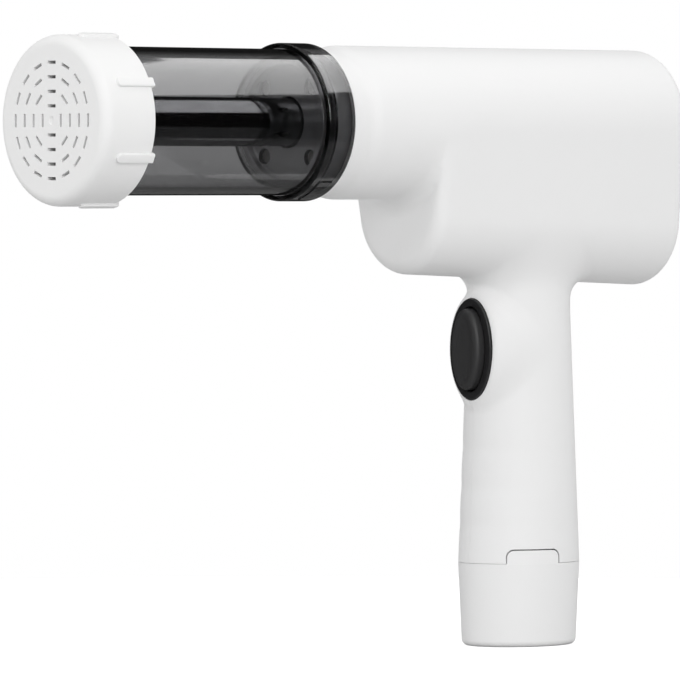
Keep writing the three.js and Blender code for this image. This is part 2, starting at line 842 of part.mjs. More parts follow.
function addPusher(group) {
  const rodBore = rodRadius - rodWall;
  const rodFront = pistonRear + fit;
  const tipFront = rodFront - rodTipLength;
  const rod = turned([
    [tipFront, 0], [tipFront, rodTipRadius], [rodFront, rodTipRadius], [rodFront, rodRadius],
    [rodRear - fit, rodRadius], [rodRear - fit, rodBore], [rodFront + rodPlug, rodBore],
    [rodFront + rodPlug, 0],
  ]);
  place(group, 'push_rod', rod, finish(0x0c0c0d, 0.1));

  const pistonRadius = tubeBore - slideFit;
  const grooveFront = (pistonFront + pistonRear - pistonSealWidth) / 2 - fit;
  const grooveRear = grooveFront + pistonSealWidth + 2 * fit;
  const grooveRadius = pistonRadius - pistonSealDepth;
  const tipBore = rodTipRadius + fit;
  const hubRadius = tipBore + wall;
  const skirt = grooveRadius - wall;
  const piston = turned([
    [pistonFront, 0], [pistonFront, pistonRadius], [grooveFront, pistonRadius],
    [grooveFront, grooveRadius], [grooveRear, grooveRadius], [grooveRear, pistonRadius],
    [pistonRear, pistonRadius], [pistonRear, skirt], [pistonFront + pistonFloor, skirt],
    [pistonFront + pistonFloor, hubRadius], [pistonRear, hubRadius], [pistonRear, tipBore],
    [tipFront - fit, tipBore], [tipFront - fit, 0],
  ]);
  place(group, 'piston', piston, finish(0xe9e9e6, 0.4));
  place(group, 'piston_seal',
    ringAlongX(grooveRadius + fit, pistonRadius + fit / 2, grooveFront + fit, grooveRear - fit),
    finish(0x303030, 0.75));

  const seat = rodRadius + fit;
  const lipBore = screwCrestRadius + 2 * slideFit;
  const earReach = guideSpacing + guideRadius + carriageEarWall;
  const ears = block([carriageFront, carriageRear], [-earReach, earReach],
    [-carriageHalfHeight, carriageHalfHeight]);
  const collar = bar('x', seat + wall, carriageFront, carriageRear, mediumSteps);
  const bores = joined(
    bar('x', seat, carriageFront - overrun, carriageRear - carriageLip, mediumSteps),
    bar('x', lipBore, carriageFront - overrun, carriageRear + overrun));
  const slots = guidePlaces.map((spot) =>
    bar('x', guideRadius + slideFit, carriageFront - overrun, carriageRear + overrun).translate(spot));
  place(group, 'carriage', cutBy(joined(ears, collar), bores, ...slots), finish(0xd8d6cf, 0.5));

  const nutRear = rodRear + nutFlange;
  const nutBore = screwCrestRadius + slideFit;
  const sleeve = turned([
    [nutFront, nutBore], [nutFront, rodBore - fit], [rodRear, rodBore - fit],
    [rodRear, rodRadius], [nutRear, rodRadius], [nutRear, nutBore],
  ], mediumSteps);
  const ridge = threadRidge(nutBore + sink, screwCoreRadius + 2 * slideFit, nutRidgeShares,
    screwRidgeFront + driveLead / 2, nutRear, driveLead, threadSteps);
  const length = block([nutFront, nutRear], [-rodRadius, rodRadius], [-rodRadius, rodRadius]);
  place(group, 'drive_nut', joined(sleeve, ridge.intersect(length)), finish(0xb08d57, 0.4, 0.8));
}

// Lead screw, its gear and bearing

function addScrew(group) {
  const retainerFront = bearingRear + fit;
  const retainerRear = retainerFront + retainerLength;
  const shaft = bar('x', screwCoreRadius, screwFront, retainerRear + fit, threadSteps);
  const ridge = threadRidge(screwCoreRadius - sink, screwCrestRadius, screwRidgeShares,
    screwRidgeFront, gearPlateFront - driveLead, driveLead, threadSteps);
  place(group, 'lead_screw', joined(shaft, ridge), finish(0x8f9296, 0.3, 0.9));
  const bore = screwCoreRadius + fit;
  place(group, 'screw_gear',
    gear(screwGearTeeth, -Math.PI / 2, 1 / 2, bore, gearFront, gearRear), finish(0xd9d5c8, 0.5));
  place(group, 'retaining_ring',
    ringAlongX(bore, retainerRadius, retainerFront, retainerRear, smallSteps),
    finish(0x55575a, 0.4, 0.9));
}

// Gear plate and rear frame: what carries the screw, the pinion and the motor

// A notch through a plate's lower edge, for the motor lead
function leadNotch(from, to) {
  const half = leadRadius + 2 * slideFit;
  return block([from - overrun, to + overrun], [leadStart - half, leadStart + half],
    [-2 * barrelRadius - bellyDrop, leadPass + 2 * leadRadius - barrelHeight]);
}

function addFrames(group) {
  const metal = finish(0x7d8084, 0.45, 0.8);
  const down = [0, 0, -shaftSpacing];
  const gearBores = [
    bar('x', screwCrestRadius + slideFit, gearPlateFront - overrun, gearPlateRear + overrun),
    bar('x', pinionShaftRadius + fit, gearPlateFront - overrun, gearPlateRear + overrun).translate(down),
    ...guidePlaces.map((spot) =>
      bar('x', guideRadius + fit, gearPlateFront - overrun, gearPlateRear + overrun).translate(spot)),
    leadNotch(gearPlateFront, gearPlateRear),
  ];
  place(group, 'gear_plate', cutBy(framePlate(gearPlateFront, gearPlateRear), ...gearBores), metal);
  const hubRadius = bearingRadius + fit + bearingHubWall;
  const hub = bar('x', hubRadius, frameRear - sink, bearingRear, mediumSteps);
  const frameBores = [
    bar('x', screwCoreRadius + slideFit, frameFront - overrun, frameRear + overrun),
    bar('x', bearingRadius + fit, frameRear, bearingRear + overrun, mediumSteps),
    bar('x', pinionShaftRadius + slideFit, frameFront - overrun, frameRear + overrun).translate(down),
    leadNotch(frameFront, frameRear),
  ];
  place(group, 'rear_frame', cutBy(joined(framePlate(frameFront, frameRear), hub), ...frameBores), metal);
  place(group, 'thrust_bearing',
    ringAlongX(screwCoreRadius + fit, bearingRadius, frameRear + fit, bearingRear, mediumSteps),
    finish(0xa5a8ac, 0.25, 0.9));
}

// Gear motor on the lower shaft

function addMotor(group) {
  const motorFront = gearboxRear + fit;
  const socket = bar('x', pinionShaftRadius + fit, gearboxFront - overrun, gearboxRear - wall);
  place(group, 'gearbox',
    cutBy(bar('x', gearboxRadius, gearboxFront, gearboxRear, mediumSteps), socket),
    finish(0x6e7175, 0.4, 0.85));
  const terminalRear = motorRear - 2 * terminalSize;
  const can = bar('x', motorRadius, motorFront, motorRear, mediumSteps);
  const half = terminalSize / 2;
  const terminal = block([terminalRear - terminalSize, terminalRear],
    [motorRadius / 2, leadSide + half], [-terminalDrop - half, half - terminalDrop]);
  place(group, 'motor', joined(can, terminal), finish(0x8a8d92, 0.35, 0.85));
}

function pinion() {
  const shaft = bar('x', pinionShaftRadius, gearPlateFront + fit, frameRear + fit + gearboxLength / 2);
  return joined(shaft, gear(pinionTeeth, Math.PI / 2, 0, 0, gearFront, gearRear));
}

// Barrel: tube and lock ring

function addBarrel(group) {
  const tube = ringAlongX(tubeBore, tubeRadius, tubeFront, tubeRear);
  const threadStart = tubeFront + threadHeight;
  const ridge = threadRidge(tubeRadius - sink, tubeRadius + threadHeight, tubeRidgeShares,
    threadStart, threadStart + threadTurns * threadLead, threadLead, roundSteps / 2);
  place(group, 'barrel_tube', joined(tube, ridge), finish(0x55585c, 0.08));
  place(group, 'lock_ring', lockRing(), finish(0x1c1d1f, 0.1));
}

// A ring with a low thumb pad, turned from the top down to the left, and lugs inside its rear
// that hold on the front plate's
function lockRing() {
  const ringRear = -noseReach - fit;
  const bore = tubeRadius + fit;
  const lugFront = ringRear - lugLength + fit;
  const sleeve = ringAlongX(bore, ringRadius, ringFront, ringRear);
  const lugs = ringAlongX(tubeBore - sink + slideFit, bore + sink, lugFront, ringRear)
    .intersect(lugWedges(tubeRadius, lugFront - overrun, ringRear + overrun));
  const middle = (ringFront + ringRear) / 2;
  const band = ringAlongX(ringRadius - sink, ringRadius + ringPadHeight,
    middle - ringPadLength / 2, middle + ringPadLength / 2);
  const overPad = block([ringFront, ringRear], [-ringPadWidth / 2, ringPadWidth / 2], [0, 2 * ringRadius])
    .rotate([ringPadDegrees, 0, 0]);
  return joined(sleeve, lugs, band.intersect(overPad));
}

// Die cap and its seal

function capSlots() {
  const slots = [];
  for (let ring = 1; ring <= slotRings; ring += 1) {
    const count = slotsPerRing * ring;
    for (let i = 0; i < count; i += 1) {
      const slot = block([capFront - overrun, dieInside + overrun],
        [-slotLength / 2, slotLength / 2],
        [ring * slotPitch - slotWidth / 2, ring * slotPitch + slotWidth / 2]);
      slots.push(slot.rotate([360 * i / count, 0, 0]));
    }
  }
  return joined(...slots);
}

function capRib() {
  const top = capRadius + capRibProud;
  const start = capFront + capRibSetback;
  const rib = block([start, capRear + capRibOverhang],
    [-capRibWidth / 2, capRibWidth / 2], [capRadius - 2 * sink, top]);
  const round = bar('z', capRibWidth / 2, capRadius - 2 * sink, top).translate([start, 0, 0]);
  return joined(rib, round);
}

function dieCap() {
  const sealBore = tubeRadius + 2 * fit;
  const edge = [];
  for (let i = 0; i <= filletSteps; i += 1) {
    const angle = Math.PI / 2 * i / filletSteps;
    edge.push([
      capFront + capFillet * (1 - Math.cos(angle)), capRadius - capFillet * (1 - Math.sin(angle)),
    ]);
  }
  const cup = turned([
    [capFront, 0], ...edge, [capRear, capRadius], [capRear, capBore], [tubeFront, capBore],
    [tubeFront, sealBore], [dieInside, sealBore], [dieInside, 0],
  ]);
  const ribs = [];
  for (let i = 0; i < capRibs; i += 1) {
    ribs.push(capRib().rotate([90 + 180 / capRibs + 360 * i / capRibs, 0, 0]));
  }
  const threadStart = tubeFront + threadHeight + threadLead * (threadTurns - 1 / 2);
  const ridge = threadRidge(capBore + sink, tubeRadius + slideFit, capRidgeShares,
    threadStart, threadStart + threadLead, threadLead, roundSteps);
  return cutBy(joined(cup, ...ribs, ridge), capSlots());
}

function capSeal() {
  const front = dieInside + fit;
  return ringAlongX(tubeBore + fit, tubeRadius, front, front + sealThickness);
}

// Button, bezel and what they work

function bezel() {
  const rear = bezelFront + bezelDepth;
  const steps = roundSteps / 2;
  const innerHalf = bezelWidth / 2 - bezelRing;
  const outer = plateAlongX(oval(bezelWidth / 2 - fit, bezelHeight / 2 - fit), bezelFront, rear, steps);
  const opening = plateAlongX(oval(innerHalf, bezelHeight / 2 - bezelRing),
    bezelFront - overrun, rear + overrun, steps);
  const span = block([rockerPivot - earDepth, rear],
    [-innerHalf - sink, innerHalf + sink], [-earDepth, earDepth]);
  const between = innerHalf - earThickness;
  const middle = block([bezelFront, rear + overrun], [-between, between], [-bezelHeight, bezelHeight]);
  const pinHalf = bezelWidth / 2 - bezelRing / 2 + fit;
  const pinHole = bar('y', rockerPinRadius + fit, -pinHalf, pinHalf).translate([rockerPivot, 0, 0]);
  return cutBy(joined(cutBy(outer, opening), cutBy(span, middle)), pinHole);
}

// The pad that the thumb presses, on a boss that rocks on the pin, with a nub over each switch
function rockerButton() {
  const halfWidth = bezelWidth / 2 - bezelRing - buttonGap;
  const halfHeight = bezelHeight / 2 - bezelRing - buttonGap;
  const padFront = bezelFront - buttonProud;
  const padRear = bezelFront + buttonBack;
  const ring = (x, inset) => ovalRing(x, halfWidth - inset, halfHeight - inset);
  const rings = [];
  for (let i = 0; i <= filletSteps; i += 1) {
    const angle = Math.PI / 2 * i / filletSteps;
    rings.push(ring(padFront + buttonEdge * (1 - Math.cos(angle)), buttonEdge * (1 - Math.sin(angle))));
  }
  rings.push(ring(padRear, 0));
  const bossHalf = bezelWidth / 2 - bezelRing - earThickness - slideFit;
  const boss = block([padRear - sink, rockerPivot + earDepth],
    [-bossHalf, bossHalf], [-earDepth, earDepth]);
  const half = nubSize / 2;
  const nubEnd = boardFront - switchDepth - switchTravel;
  const nubs = [-1, 1].map((side) => block([padRear - sink, nubEnd],
    [-half, half], [side * rockerArm - half, side * rockerArm + half]));
  const pinHole = bar('y', rockerPinRadius + fit, -bezelWidth, bezelWidth)
    .translate([rockerPivot, 0, 0]);
  return cutBy(joined(loft(rings), boss, ...nubs), pinHole);
}

function addButton(group) {
  const pinHalf = bezelWidth / 2 - bezelRing / 2;
  const pin = bar('y', rockerPinRadius, -pinHalf, pinHalf).translate([rockerPivot, 0, 0]);
  place(group, 'button_bezel', bezel(), finish(0x141416, 0.3));
  place(group, 'rocker_pin', pin, finish(0x9a9da1, 0.3, 0.9));
  place(group, 'rocker_button', rockerButton(), finish(0x2b2b2d, 0.55));
}

function addControls(group) {
  place(group, 'control_board', block([boardFront, boardRear],
    [-boardWidth / 2, boardWidth / 2], [-boardHeight / 2, boardHeight / 2]), finish(0x1f5b3a, 0.5));
  const names = ['switch_reverse', 'switch_forward'];
  const plungerFront = boardFront - switchDepth;
  const bodyFront = plungerFront + plungerLength;
  const half = nubSize / 2;
  [-1, 1].forEach((side, number) => {
    const middle = side * rockerArm;
    const body = block([bodyFront, boardFront - fit], [-switchWidth / 2, switchWidth / 2],
      [middle - switchHeight / 2, middle + switchHeight / 2]);
    const plunger = block([plungerFront, bodyFront + sink], [-half, half],
      [middle - half, middle + half]);
    place(group, names[number], joined(body, plunger), finish(0x1a1a1c, 0.5));
  });
}

// Leads inside the housing

function lead(route) {
  const section = new THREE.Shape();
  section.absarc(0, 0, leadRadius, 0, 2 * Math.PI);
  const path = new THREE.CatmullRomCurve3(route.map((point) => new THREE.Vector3(...point)));
  const steps = Math.round(path.getLength() / (5 * leadRadius));
  const options = { extrudePath: path, steps, curveSegments: filletSteps };
  return solidOf(new THREE.ExtrudeGeometry(section, options));
}

function addLeads(group) {
  const boardX = (boardFront + boardRear) / 2;
  const boardTop = buttonHeight + boardHeight / 2 + 2 * fit;
  const boardBottom = buttonHeight - boardHeight / 2 - fit;
  const riserTop = shelfTop + riserHeight + fit;
  const terminalZ = barrelHeight - shaftSpacing - terminalDrop;
  const terminalFront = motorRear - 3 * terminalSize - fit;
  const passFront = boardX + 3 * leadRadius;
  const passRear = Math.max(frameRear, passFront) + 3 * leadRadius;
  const black = finish(0x161616, 0.6);
  place(group, 'motor_lead', lead([
    [boardX, leadStart, boardTop], [boardX, leadStart, boardTop + leadRadius],
    [passFront, leadStart, leadPass], [passRear, leadStart, leadPass],
    [passRear + gearboxLength, leadSide, terminalZ], [terminalFront, leadSide, terminalZ],
  ]), black);
  place(group, 'battery_lead', lead([
    [0, 0, riserTop], [0, 0, riserTop + 3 * leadRadius],
    [boardX, 0, boardBottom - 3 * leadRadius], [boardX, 0, boardBottom],
  ]), black);
}

// Contact block over the battery

function addContactBlock(group) {
  const shelf = gripSlice(wall + fit, shelfBottom, shelfTop);
  const riser = block([-cellRadius, cellRadius], [-cellRadius / 2, cellRadius / 2],
    [shelfTop - sink, shelfTop + riserHeight]);
  const half = bladeThickness / 2;
  const blades = [-cellRadius, cellRadius].map((x) => block(
    [x - half, x + half], [-cellRadius / 3, cellRadius / 3], [bladeBottom, shelfBottom + sink]));
  place(group, 'contact_block', joined(shelf, riser, ...blades), finish(0x232325, 0.5));
}

// Battery pack

function caseOutline(radius) {
  const shape = new THREE.Shape();
  const centre = cellRadius + fit;
  shape.absarc(centre, 0, radius, -Math.PI / 2, Math.PI / 2, false);
  shape.absarc(-centre, 0, radius, Math.PI / 2, 3 * Math.PI / 2, false);
  return shape;
}

function alongZ(shape, from, to) {
  const geometry = new THREE.ExtrudeGeometry(shape, {
    depth: to - from, bevelEnabled: false, curveSegments: smallSteps / 2,
  });
  geometry.translate(0, 0, from);
  return solidOf(geometry);
}

const socketRear = gripHalfLength(seamHeight / 2) - packWall / 2;
const socketFront = socketRear - socketDepth;

// What the charge socket takes up, drawn in by the inset, from one x to another
function socketBlock(from, to, inset) {
  const halfWidth = socketWidth / 2 - inset;
  const halfHeight = socketHeight / 2 - inset;
  return block([from, to], [-halfWidth, halfWidth],
    [seamHeight / 2 - halfHeight, seamHeight / 2 + halfHeight]);
}

function packShell() {
  const rings = [];
  for (let i = 0; i <= filletSteps; i += 1) {
    const angle = Math.PI / 2 * i / filletSteps;
    rings.push(gripRing(footFillet * (1 - Math.cos(angle)), footFillet * (1 - Math.sin(angle))));
  }
  rings.push(gripRing(packTop, 0));
  const cup = cutBy(loft(rings), gripSlice(packWall, packWall, seamHeight + overrun));
  const band = cutBy(gripSlice(0, packTop - sink, seamHeight + tabRise + overrun),
    gripSlice(packWall, packTop - 2 * sink, seamHeight + tabRise + 2 * overrun));
  const tabs = band.intersect(joined(tabPrism(-1, 0), tabPrism(1, 0)));
  return cutBy(joined(cup, tabs), socketBlock(socketFront - fit, 2 * gripSeamHalfLength, -fit));
}

function addPack(group) {
  const dark = finish(0x3a3b3d, 0.5);
  place(group, 'battery_shell', packShell(), finish(0xe9e9e7, 0.38));
  const pocket = cellRadius + fit;
  const cellTop = caseBottom + cellLength;
  const tower = alongZ(caseOutline(pocket + caseWall), caseBottom, caseTop);
  const deck = gripSlice(packWall + fit, packTop - deckThickness, packTop - fit);
  const hollow = alongZ(caseOutline(pocket), caseBottom - overrun, cellTop + fit);
  place(group, 'battery_case', cutBy(joined(tower, deck), hollow), dark);
  const contactBottom = caseTop + fit;
  [-1, 1].forEach((side, number) => {
    place(group, `cell_${number + 1}`,
      bar('z', cellRadius, caseBottom, cellTop).translate([side * pocket, 0, 0]), finish(0x2f6fa8, 0.4));
    const middle = side * cellRadius;
    place(group, `battery_contact_${number + 1}`, block(
      [middle - contactWidth / 2, middle + contactWidth / 2], [-cellRadius / 2, cellRadius / 2],
      [contactBottom, contactBottom + contactThickness]), finish(0xc9a24a, 0.3, 0.9));
  });
  const socket = cutBy(socketBlock(socketFront, socketRear, 0),
    socketBlock(socketFront + socketWall, socketRear + overrun, socketWall));
  place(group, 'charge_socket', socket, dark);
}

// Assembly

const pastaMaker = new THREE.Group();
const barrelLine = new THREE.Group();
barrelLine.position.z = barrelHeight;
const motorLine = new THREE.Group();
motorLine.position.z = -shaftSpacing;
const buttonLine = new THREE.Group();
buttonLine.position.z = buttonHeight;
pastaMaker.add(barrelLine, buttonLine);
barrelLine.add(motorLine);

addHousing(pastaMaker);
addContactBlock(pastaMaker);
addLeads(pastaMaker);
addPack(pastaMaker);
addFrontPlate(barrelLine);
addPusher(barrelLine);
addScrew(barrelLine);
addFrames(barrelLine);
addBarrel(barrelLine);
place(barrelLine, 'die_cap', dieCap(), finish(0xf2f2f0, 0.4));
place(barrelLine, 'cap_seal', capSeal(), finish(0xb9b9b4, 0.7));
addMotor(motorLine);
place(motorLine, 'pinion', pinion(), finish(0x9b9ea2, 0.35, 0.9));
addButton(buttonLine);
addControls(buttonLine);

export default pastaMaker;
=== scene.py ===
"""Looks of the handheld pasta maker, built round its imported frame.

Sizes below are in millimetres, in the frame's axes: +Z up, the barrel level and pointing to
-X, and the origin in the middle of the flat underside of the battery pack. Only the grain and
patches of the materials, the lamps and the lens's clipping are in metres.
"""

import itertools
import json
import math

import bpy
import numpy as np
from mathutils import Matrix, Vector


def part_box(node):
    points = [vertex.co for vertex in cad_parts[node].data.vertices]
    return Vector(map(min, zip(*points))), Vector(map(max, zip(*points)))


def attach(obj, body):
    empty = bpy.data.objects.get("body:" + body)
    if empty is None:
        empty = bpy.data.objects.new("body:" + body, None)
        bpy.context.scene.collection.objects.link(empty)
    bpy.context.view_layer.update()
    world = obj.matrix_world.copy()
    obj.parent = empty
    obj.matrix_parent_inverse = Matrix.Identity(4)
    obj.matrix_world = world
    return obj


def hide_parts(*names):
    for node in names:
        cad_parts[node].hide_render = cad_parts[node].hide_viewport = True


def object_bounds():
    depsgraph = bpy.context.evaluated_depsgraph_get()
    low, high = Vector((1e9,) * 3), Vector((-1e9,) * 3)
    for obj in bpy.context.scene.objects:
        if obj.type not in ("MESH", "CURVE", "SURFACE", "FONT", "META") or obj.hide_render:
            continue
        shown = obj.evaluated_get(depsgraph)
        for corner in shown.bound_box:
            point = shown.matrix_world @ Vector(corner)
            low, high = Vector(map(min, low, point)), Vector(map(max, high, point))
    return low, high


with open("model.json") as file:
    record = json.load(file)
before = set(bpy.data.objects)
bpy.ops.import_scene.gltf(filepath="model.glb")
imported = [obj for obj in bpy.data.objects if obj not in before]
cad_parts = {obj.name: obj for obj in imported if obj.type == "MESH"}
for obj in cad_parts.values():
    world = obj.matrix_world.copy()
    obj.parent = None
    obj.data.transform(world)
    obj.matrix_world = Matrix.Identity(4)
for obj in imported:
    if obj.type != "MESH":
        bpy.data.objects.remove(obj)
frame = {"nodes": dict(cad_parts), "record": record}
cad_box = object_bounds()

MM = 0.001
TINY = 1e-6
LEAST_MOVE = 1e-9
FIT = 0.3
OVERRUN = 1.0
CUT_REACH = 5.0
ROOT_DEPTH = 0.4
EDGE_SHARE = 0.3

# A rounding takes up less than half of each side, and there is none on a straight run
CORNER_SHARE = 0.49
STRAIGHT = math.pi - 0.01

# Edges sharper than this in degrees stay sharp, and large faces weigh more in the shading
SHARP_ANGLE = 32
FACE_WEIGHT = 90

# How finely round shapes are divided
SEGMENTS = 160
PAD_SEGMENTS = 128
HOLE_SEGMENTS = 96
BAR_SEGMENTS = 48
CORNER_STEPS = 4
RIB_STEPS = 8
RING_STEPS = 10
CAP_STEPS = 10
TAB_STEPS = 12
QUARTER_POINTS = 8
FOOT_POINTS = 7

# Housing
BARREL_HEIGHT = 220.1646
NOSE_REACH = 118.8
TAIL_REACH = 68.0
WALL = 2.6
BARREL_RADIUS = 31.8
COLLAR_LENGTH = 9.3
COLLAR_RAMP = 6.5
COLLAR_STEP = 0.3
COLLAR_TAPER = 0.8
TAIL_FILLET = 3.0
BELLY_REACH = 68.7
BELLY_RADIUS = 26.9
BELLY_SWELL = 1.6
BELLY_DROP = 36.0
BELLY_FALL = 4.1
BELLY_FILLET = 5.75
THROAT_FILLET = 8.0
LEAST_THROAT = 1e-4
SHELL_GAP = 0.06
SHELL_ROOM = 0.3
SHELL_SCREWS = 5
SHELL_SCREW_RADIUS = 1.5
SHELL_SCREW_HEAD = 2.8
SHELL_SCREW_SIDE = 6.0

# Skins over the housing's fields
SKIN_STEP = 1.3
HOLLOW_STEP = 2.2
SKIN_OVERRUN = 5.0
SKIN_ROOM_BELOW = 7.5
SKIN_ROOM_ABOVE = 2.5
SLOPE_REACH = 0.02
LEAST_STEEPNESS = 0.05
PULL_ROUNDS = 4
EVENING_ROUNDS = 3

# Grip and battery pack
SEAM_HEIGHT = 35.3
NECK_HEIGHT = 141.0
NECK_HALF_LENGTH = 23.7
SEAM_HALF_LENGTH = 28.0
FOOT_HALF_LENGTH = 26.3
WIDTH_SHARE = 0.8
GRIP_FILLET = 9.0
FINGER_HEIGHTS = (51.3, 67.0, 83.5)
FINGER_DEPTH = 0.35
FINGER_SPREAD = 3.2
FOOT_FILLET = 2.5
PACK_WALL = 2.4
TAB_RISE = 5.8
TAB_WIDTH = 23.8
TAB_CORNER = 6.2
TAB_GAP = 0.5
TAB_SINK = 0.02
TAB_LEAN = math.radians(21)
SEAM_GAP = 0.12
SEAM_EDGE = 0.25

# Button
BUTTON_HEIGHT = 125.3
BEZEL_FRONT = -28.04
BEZEL_WIDTH = 26.0
BEZEL_TALL = 43.2
BEZEL_RING = 3.75
BEZEL_DEPTH = 13.0
BEZEL_FILLETS = (0.6, 0.8, 0.2, 0.2)
BEZEL_HOLE_END = -10.0
SEAT_RIM = 0.3
SEAT_SINK = 1.2
SEAT_FILLET = 4.0
LEAST_SEAT_FILLET = 0.05
BUTTON_GAP = 0.7
BUTTON_PROUD = 3.8
BUTTON_BACK = 3.4
PAD_FILLET = 2.2
PAD_DISH = ((0.05, 3.0), (0.35, 3.6), (0.5, 5.0))
PAD_OVERLAP = 0.5
ROCKER_REAR = 10
ROCKER_HALF_WIDTH = 20
ROCKER_HALF_HEIGHT = 30

# Barrel
TUBE_RADIUS = 30.0
TUBE_BORE = 27.2
TUBE_FRONT = -245.6
TUBE_REAR = -127.4
TUBE_FILLET = 0.4
THREAD_LEAD = 6.0
THREAD_HEIGHT = 1.2
THREAD_TURNS = 2
THREAD_STEPS = 64
THREAD_ROOT_SHARE = 0.36
THREAD_CREST_SHARE = 0.2
RING_RADIUS = 32.5
RING_FRONT = -133.6
RING_REAR = -119.1
RING_FILLETS = (0.3, 2.1, 1.7, 0.3)
RING_PAD_HEIGHT = 0.5
RING_PAD_LENGTH = 7.0
RING_PAD_WIDTH = 15.0
RING_PAD_FILLET = 0.3
RING_PAD_TURN = math.radians(152)
RING_LUG_REACH = 9
RING_LUG_DEPTH = 2
RING_LUG_OVERLAP = 0.2

# Die cap
CAP_FRONT = -252.0
CAP_REAR = -226.3
CAP_RADIUS = 34.4
CAP_BORE = 31.6
CAP_FILLET = 4.4
CAP_MOUTH_FILLET = 0.5
CAP_BORE_FILLET = 0.3
CAP_RIBS = 7
CAP_RIB_WIDTH = 4.0
CAP_RIB_PROUD = 1.3
CAP_RIB_ROOT = 0.8
CAP_RIB_EDGE = 0.6
CAP_RIB_END_FILLET = 0.3
CAP_RIB_SETBACK = 10.0
CAP_RIB_OVERHANG = 1.2
DIMPLE_RADIUS = 1.7
DIMPLE_DEPTH = 0.5
DIE_INSIDE = -247.8
SLOT_RINGS = 4
SLOT_PITCH = 5.8
SLOTS_PER_RING = 4
SLOT_LENGTH = 5.3
SLOT_WIDTH = 1.3

# Front plate and rod
PLATE_FRONT = -133.2
PLATE_FLOOR = -129.9
PLATE_REAR = -113.5
PLATE_SPLIT = -127.5
PLATE_RADIUS = 26.8
PLATE_FACE_DEPTH = 4.5
PLATE_ROOM = 60
PLATE_FILLETS = (0.3, 1.2, 0.5, 0.5, 0, 0, 0, 0)
RIM_WIDTH = 3.0
PLATE_SCREWS = 4
SCREW_CIRCLE = 20.2
SCREW_HEAD_RADIUS = 3.1
SCREW_HOLE_RADIUS = 1.9
SCREW_SINK = 4.0
# Painted shade round the plate's screw heads: how far out from the heads, and how far in front of
# the floor
PAINTED_SHADE_WIDTH = 0.33
PAINTED_SHADE_START = 0.1
ROD_RADIUS = 10.0
ROD_STEM_RADIUS = 6.0
ROD_SHOULDER = -232.2
ROD_BORE = 8.0
ROD_BORE_END = -213.2
ROD_FILLET = 0.4

# Materials
GRAIN = 0.0008
GRAIN_DETAIL = 2
GRAIN_DEPTHS = 4
PATCH_SCALE = 25
PATCH_DETAIL = 3
GLOSS_SPREAD = 0.1
SMOKE_COLOR = (0.2, 0.2, 0.21, 1)
SMOKE_DENSITY = 335
FINISHES = {
    "white_plastic": dict(color=(0.84, 0.84, 0.84), roughness=0.6, vary=0.008, bump=0.05, IOR=1.42),
    "cap_plastic": dict(color=(0.83, 0.83, 0.828), roughness=0.6, vary=0.008, bump=0.06, IOR=1.42),
    "smoky_plastic": dict(color=(0.95, 0.95, 0.95), roughness=0.04, grain=0.003, bump=0.004,
                          Transmission_Weight=1.0, IOR=1.5),
    "dark_gloss_plastic": dict(color=(0.4, 0.4, 0.41), roughness=0.07, metallic=1.0, bump=0.01),
    # The plate's light grey is a painted reflection: the plate itself is dark gloss plastic
    "plate_painted_reflection": dict(color=(0.72, 0.72, 0.73), roughness=0.2, metallic=0.5),
    # The plate screws' near-white is partly their zinc plating, partly a painted highlight
    "zinc_and_painted_highlight": dict(color=(0.95, 0.95, 0.93), roughness=0.45, metallic=0.1, vary=0.1),
    "black_plastic": dict(color=(0.016, 0.016, 0.017), roughness=0.38, bump=0.1),
    "button_rubber": dict(color=(0.03, 0.03, 0.031), roughness=0.5, bump=0.2),
    "black_rubber": dict(color=(0.02, 0.02, 0.02), roughness=0.7, bump=0.2),
    "pale_rubber": dict(color=(0.6, 0.6, 0.58), roughness=0.7, bump=0.2),
    "piston_plastic": dict(color=(0.75, 0.75, 0.73), roughness=0.45, bump=0.08),
    "gear_plastic": dict(color=(0.7, 0.66, 0.56), roughness=0.5, bump=0.08),
    "steel": dict(color=(0.56, 0.57, 0.58), roughness=0.3, metallic=1.0, vary=0.1, bump=0.05),
    "cast_alloy": dict(color=(0.5, 0.51, 0.52), roughness=0.5, metallic=1.0, vary=0.15, bump=0.3),
    "bronze": dict(color=(0.6, 0.42, 0.2), roughness=0.35, metallic=1.0, vary=0.12, bump=0.08),
    "contact_metal": dict(color=(0.75, 0.57, 0.25), roughness=0.2, metallic=1.0, bump=0.03),
    "cell_wrap": dict(color=(0.05, 0.2, 0.4), roughness=0.35, bump=0.03),
    "circuit_board": dict(color=(0.02, 0.12, 0.06), roughness=0.4, vary=0.3, bump=0.2),
    "dark_plastic": dict(color=(0.03, 0.03, 0.032), roughness=0.5, bump=0.1),
}

# Floor and room
WHITE = (1, 1, 1, 1)
FLOOR_RADIUS = 550
FLOOR_COLOR = (0.6, 0.6, 0.6, 1)
FLOOR_MIRRORED_COLOR = (0.22, 0.22, 0.22, 1)
FLOOR_ROUGHNESS = 0.9
FLOOR_GLOW = 0.7
CEILING_HEIGHTS = (0.45, 1.0)
CEILING_TONES = (0.02, 0.7)
BRIGHT_SIDE = (0.65, 0.755, -0.4)
ROOM_TONES = (0.35, 1.3)

# Lamps: name, place, width and height, power, and whether matt and glossy surfaces show it
LAMP_TARGET = (-0.09, 0, 0.2)
LAMPS = (
    ("strip", (1.15, -0.35, 1.55), (2.1, 0.7), 15.5, False, True),
    ("front", (-0.95, -2.15, 0.95), (1.4, 1.4), 30, True, True),
    ("left", (-2.1, -0.3, 1.7), (1.2, 1.2), 15, True, True),
    ("back", (-1.6, 1.9, 0.35), (1.4, 1.4), 4, True, False),
)

# Camera, with its places in the photograph's pixels
PHOTO_SIZE = 680
PIXEL = 0.4231
FOCAL_PIXELS = 6800
CAMERA_TURN = math.radians(40.8)
ORIGIN_COLUMN = 519
BARREL_ROW = 124
HORIZON_ROW = 182
SENSOR_WIDTH = 36
NEAR_AND_FAR = (0.1, 200)


# Meshes

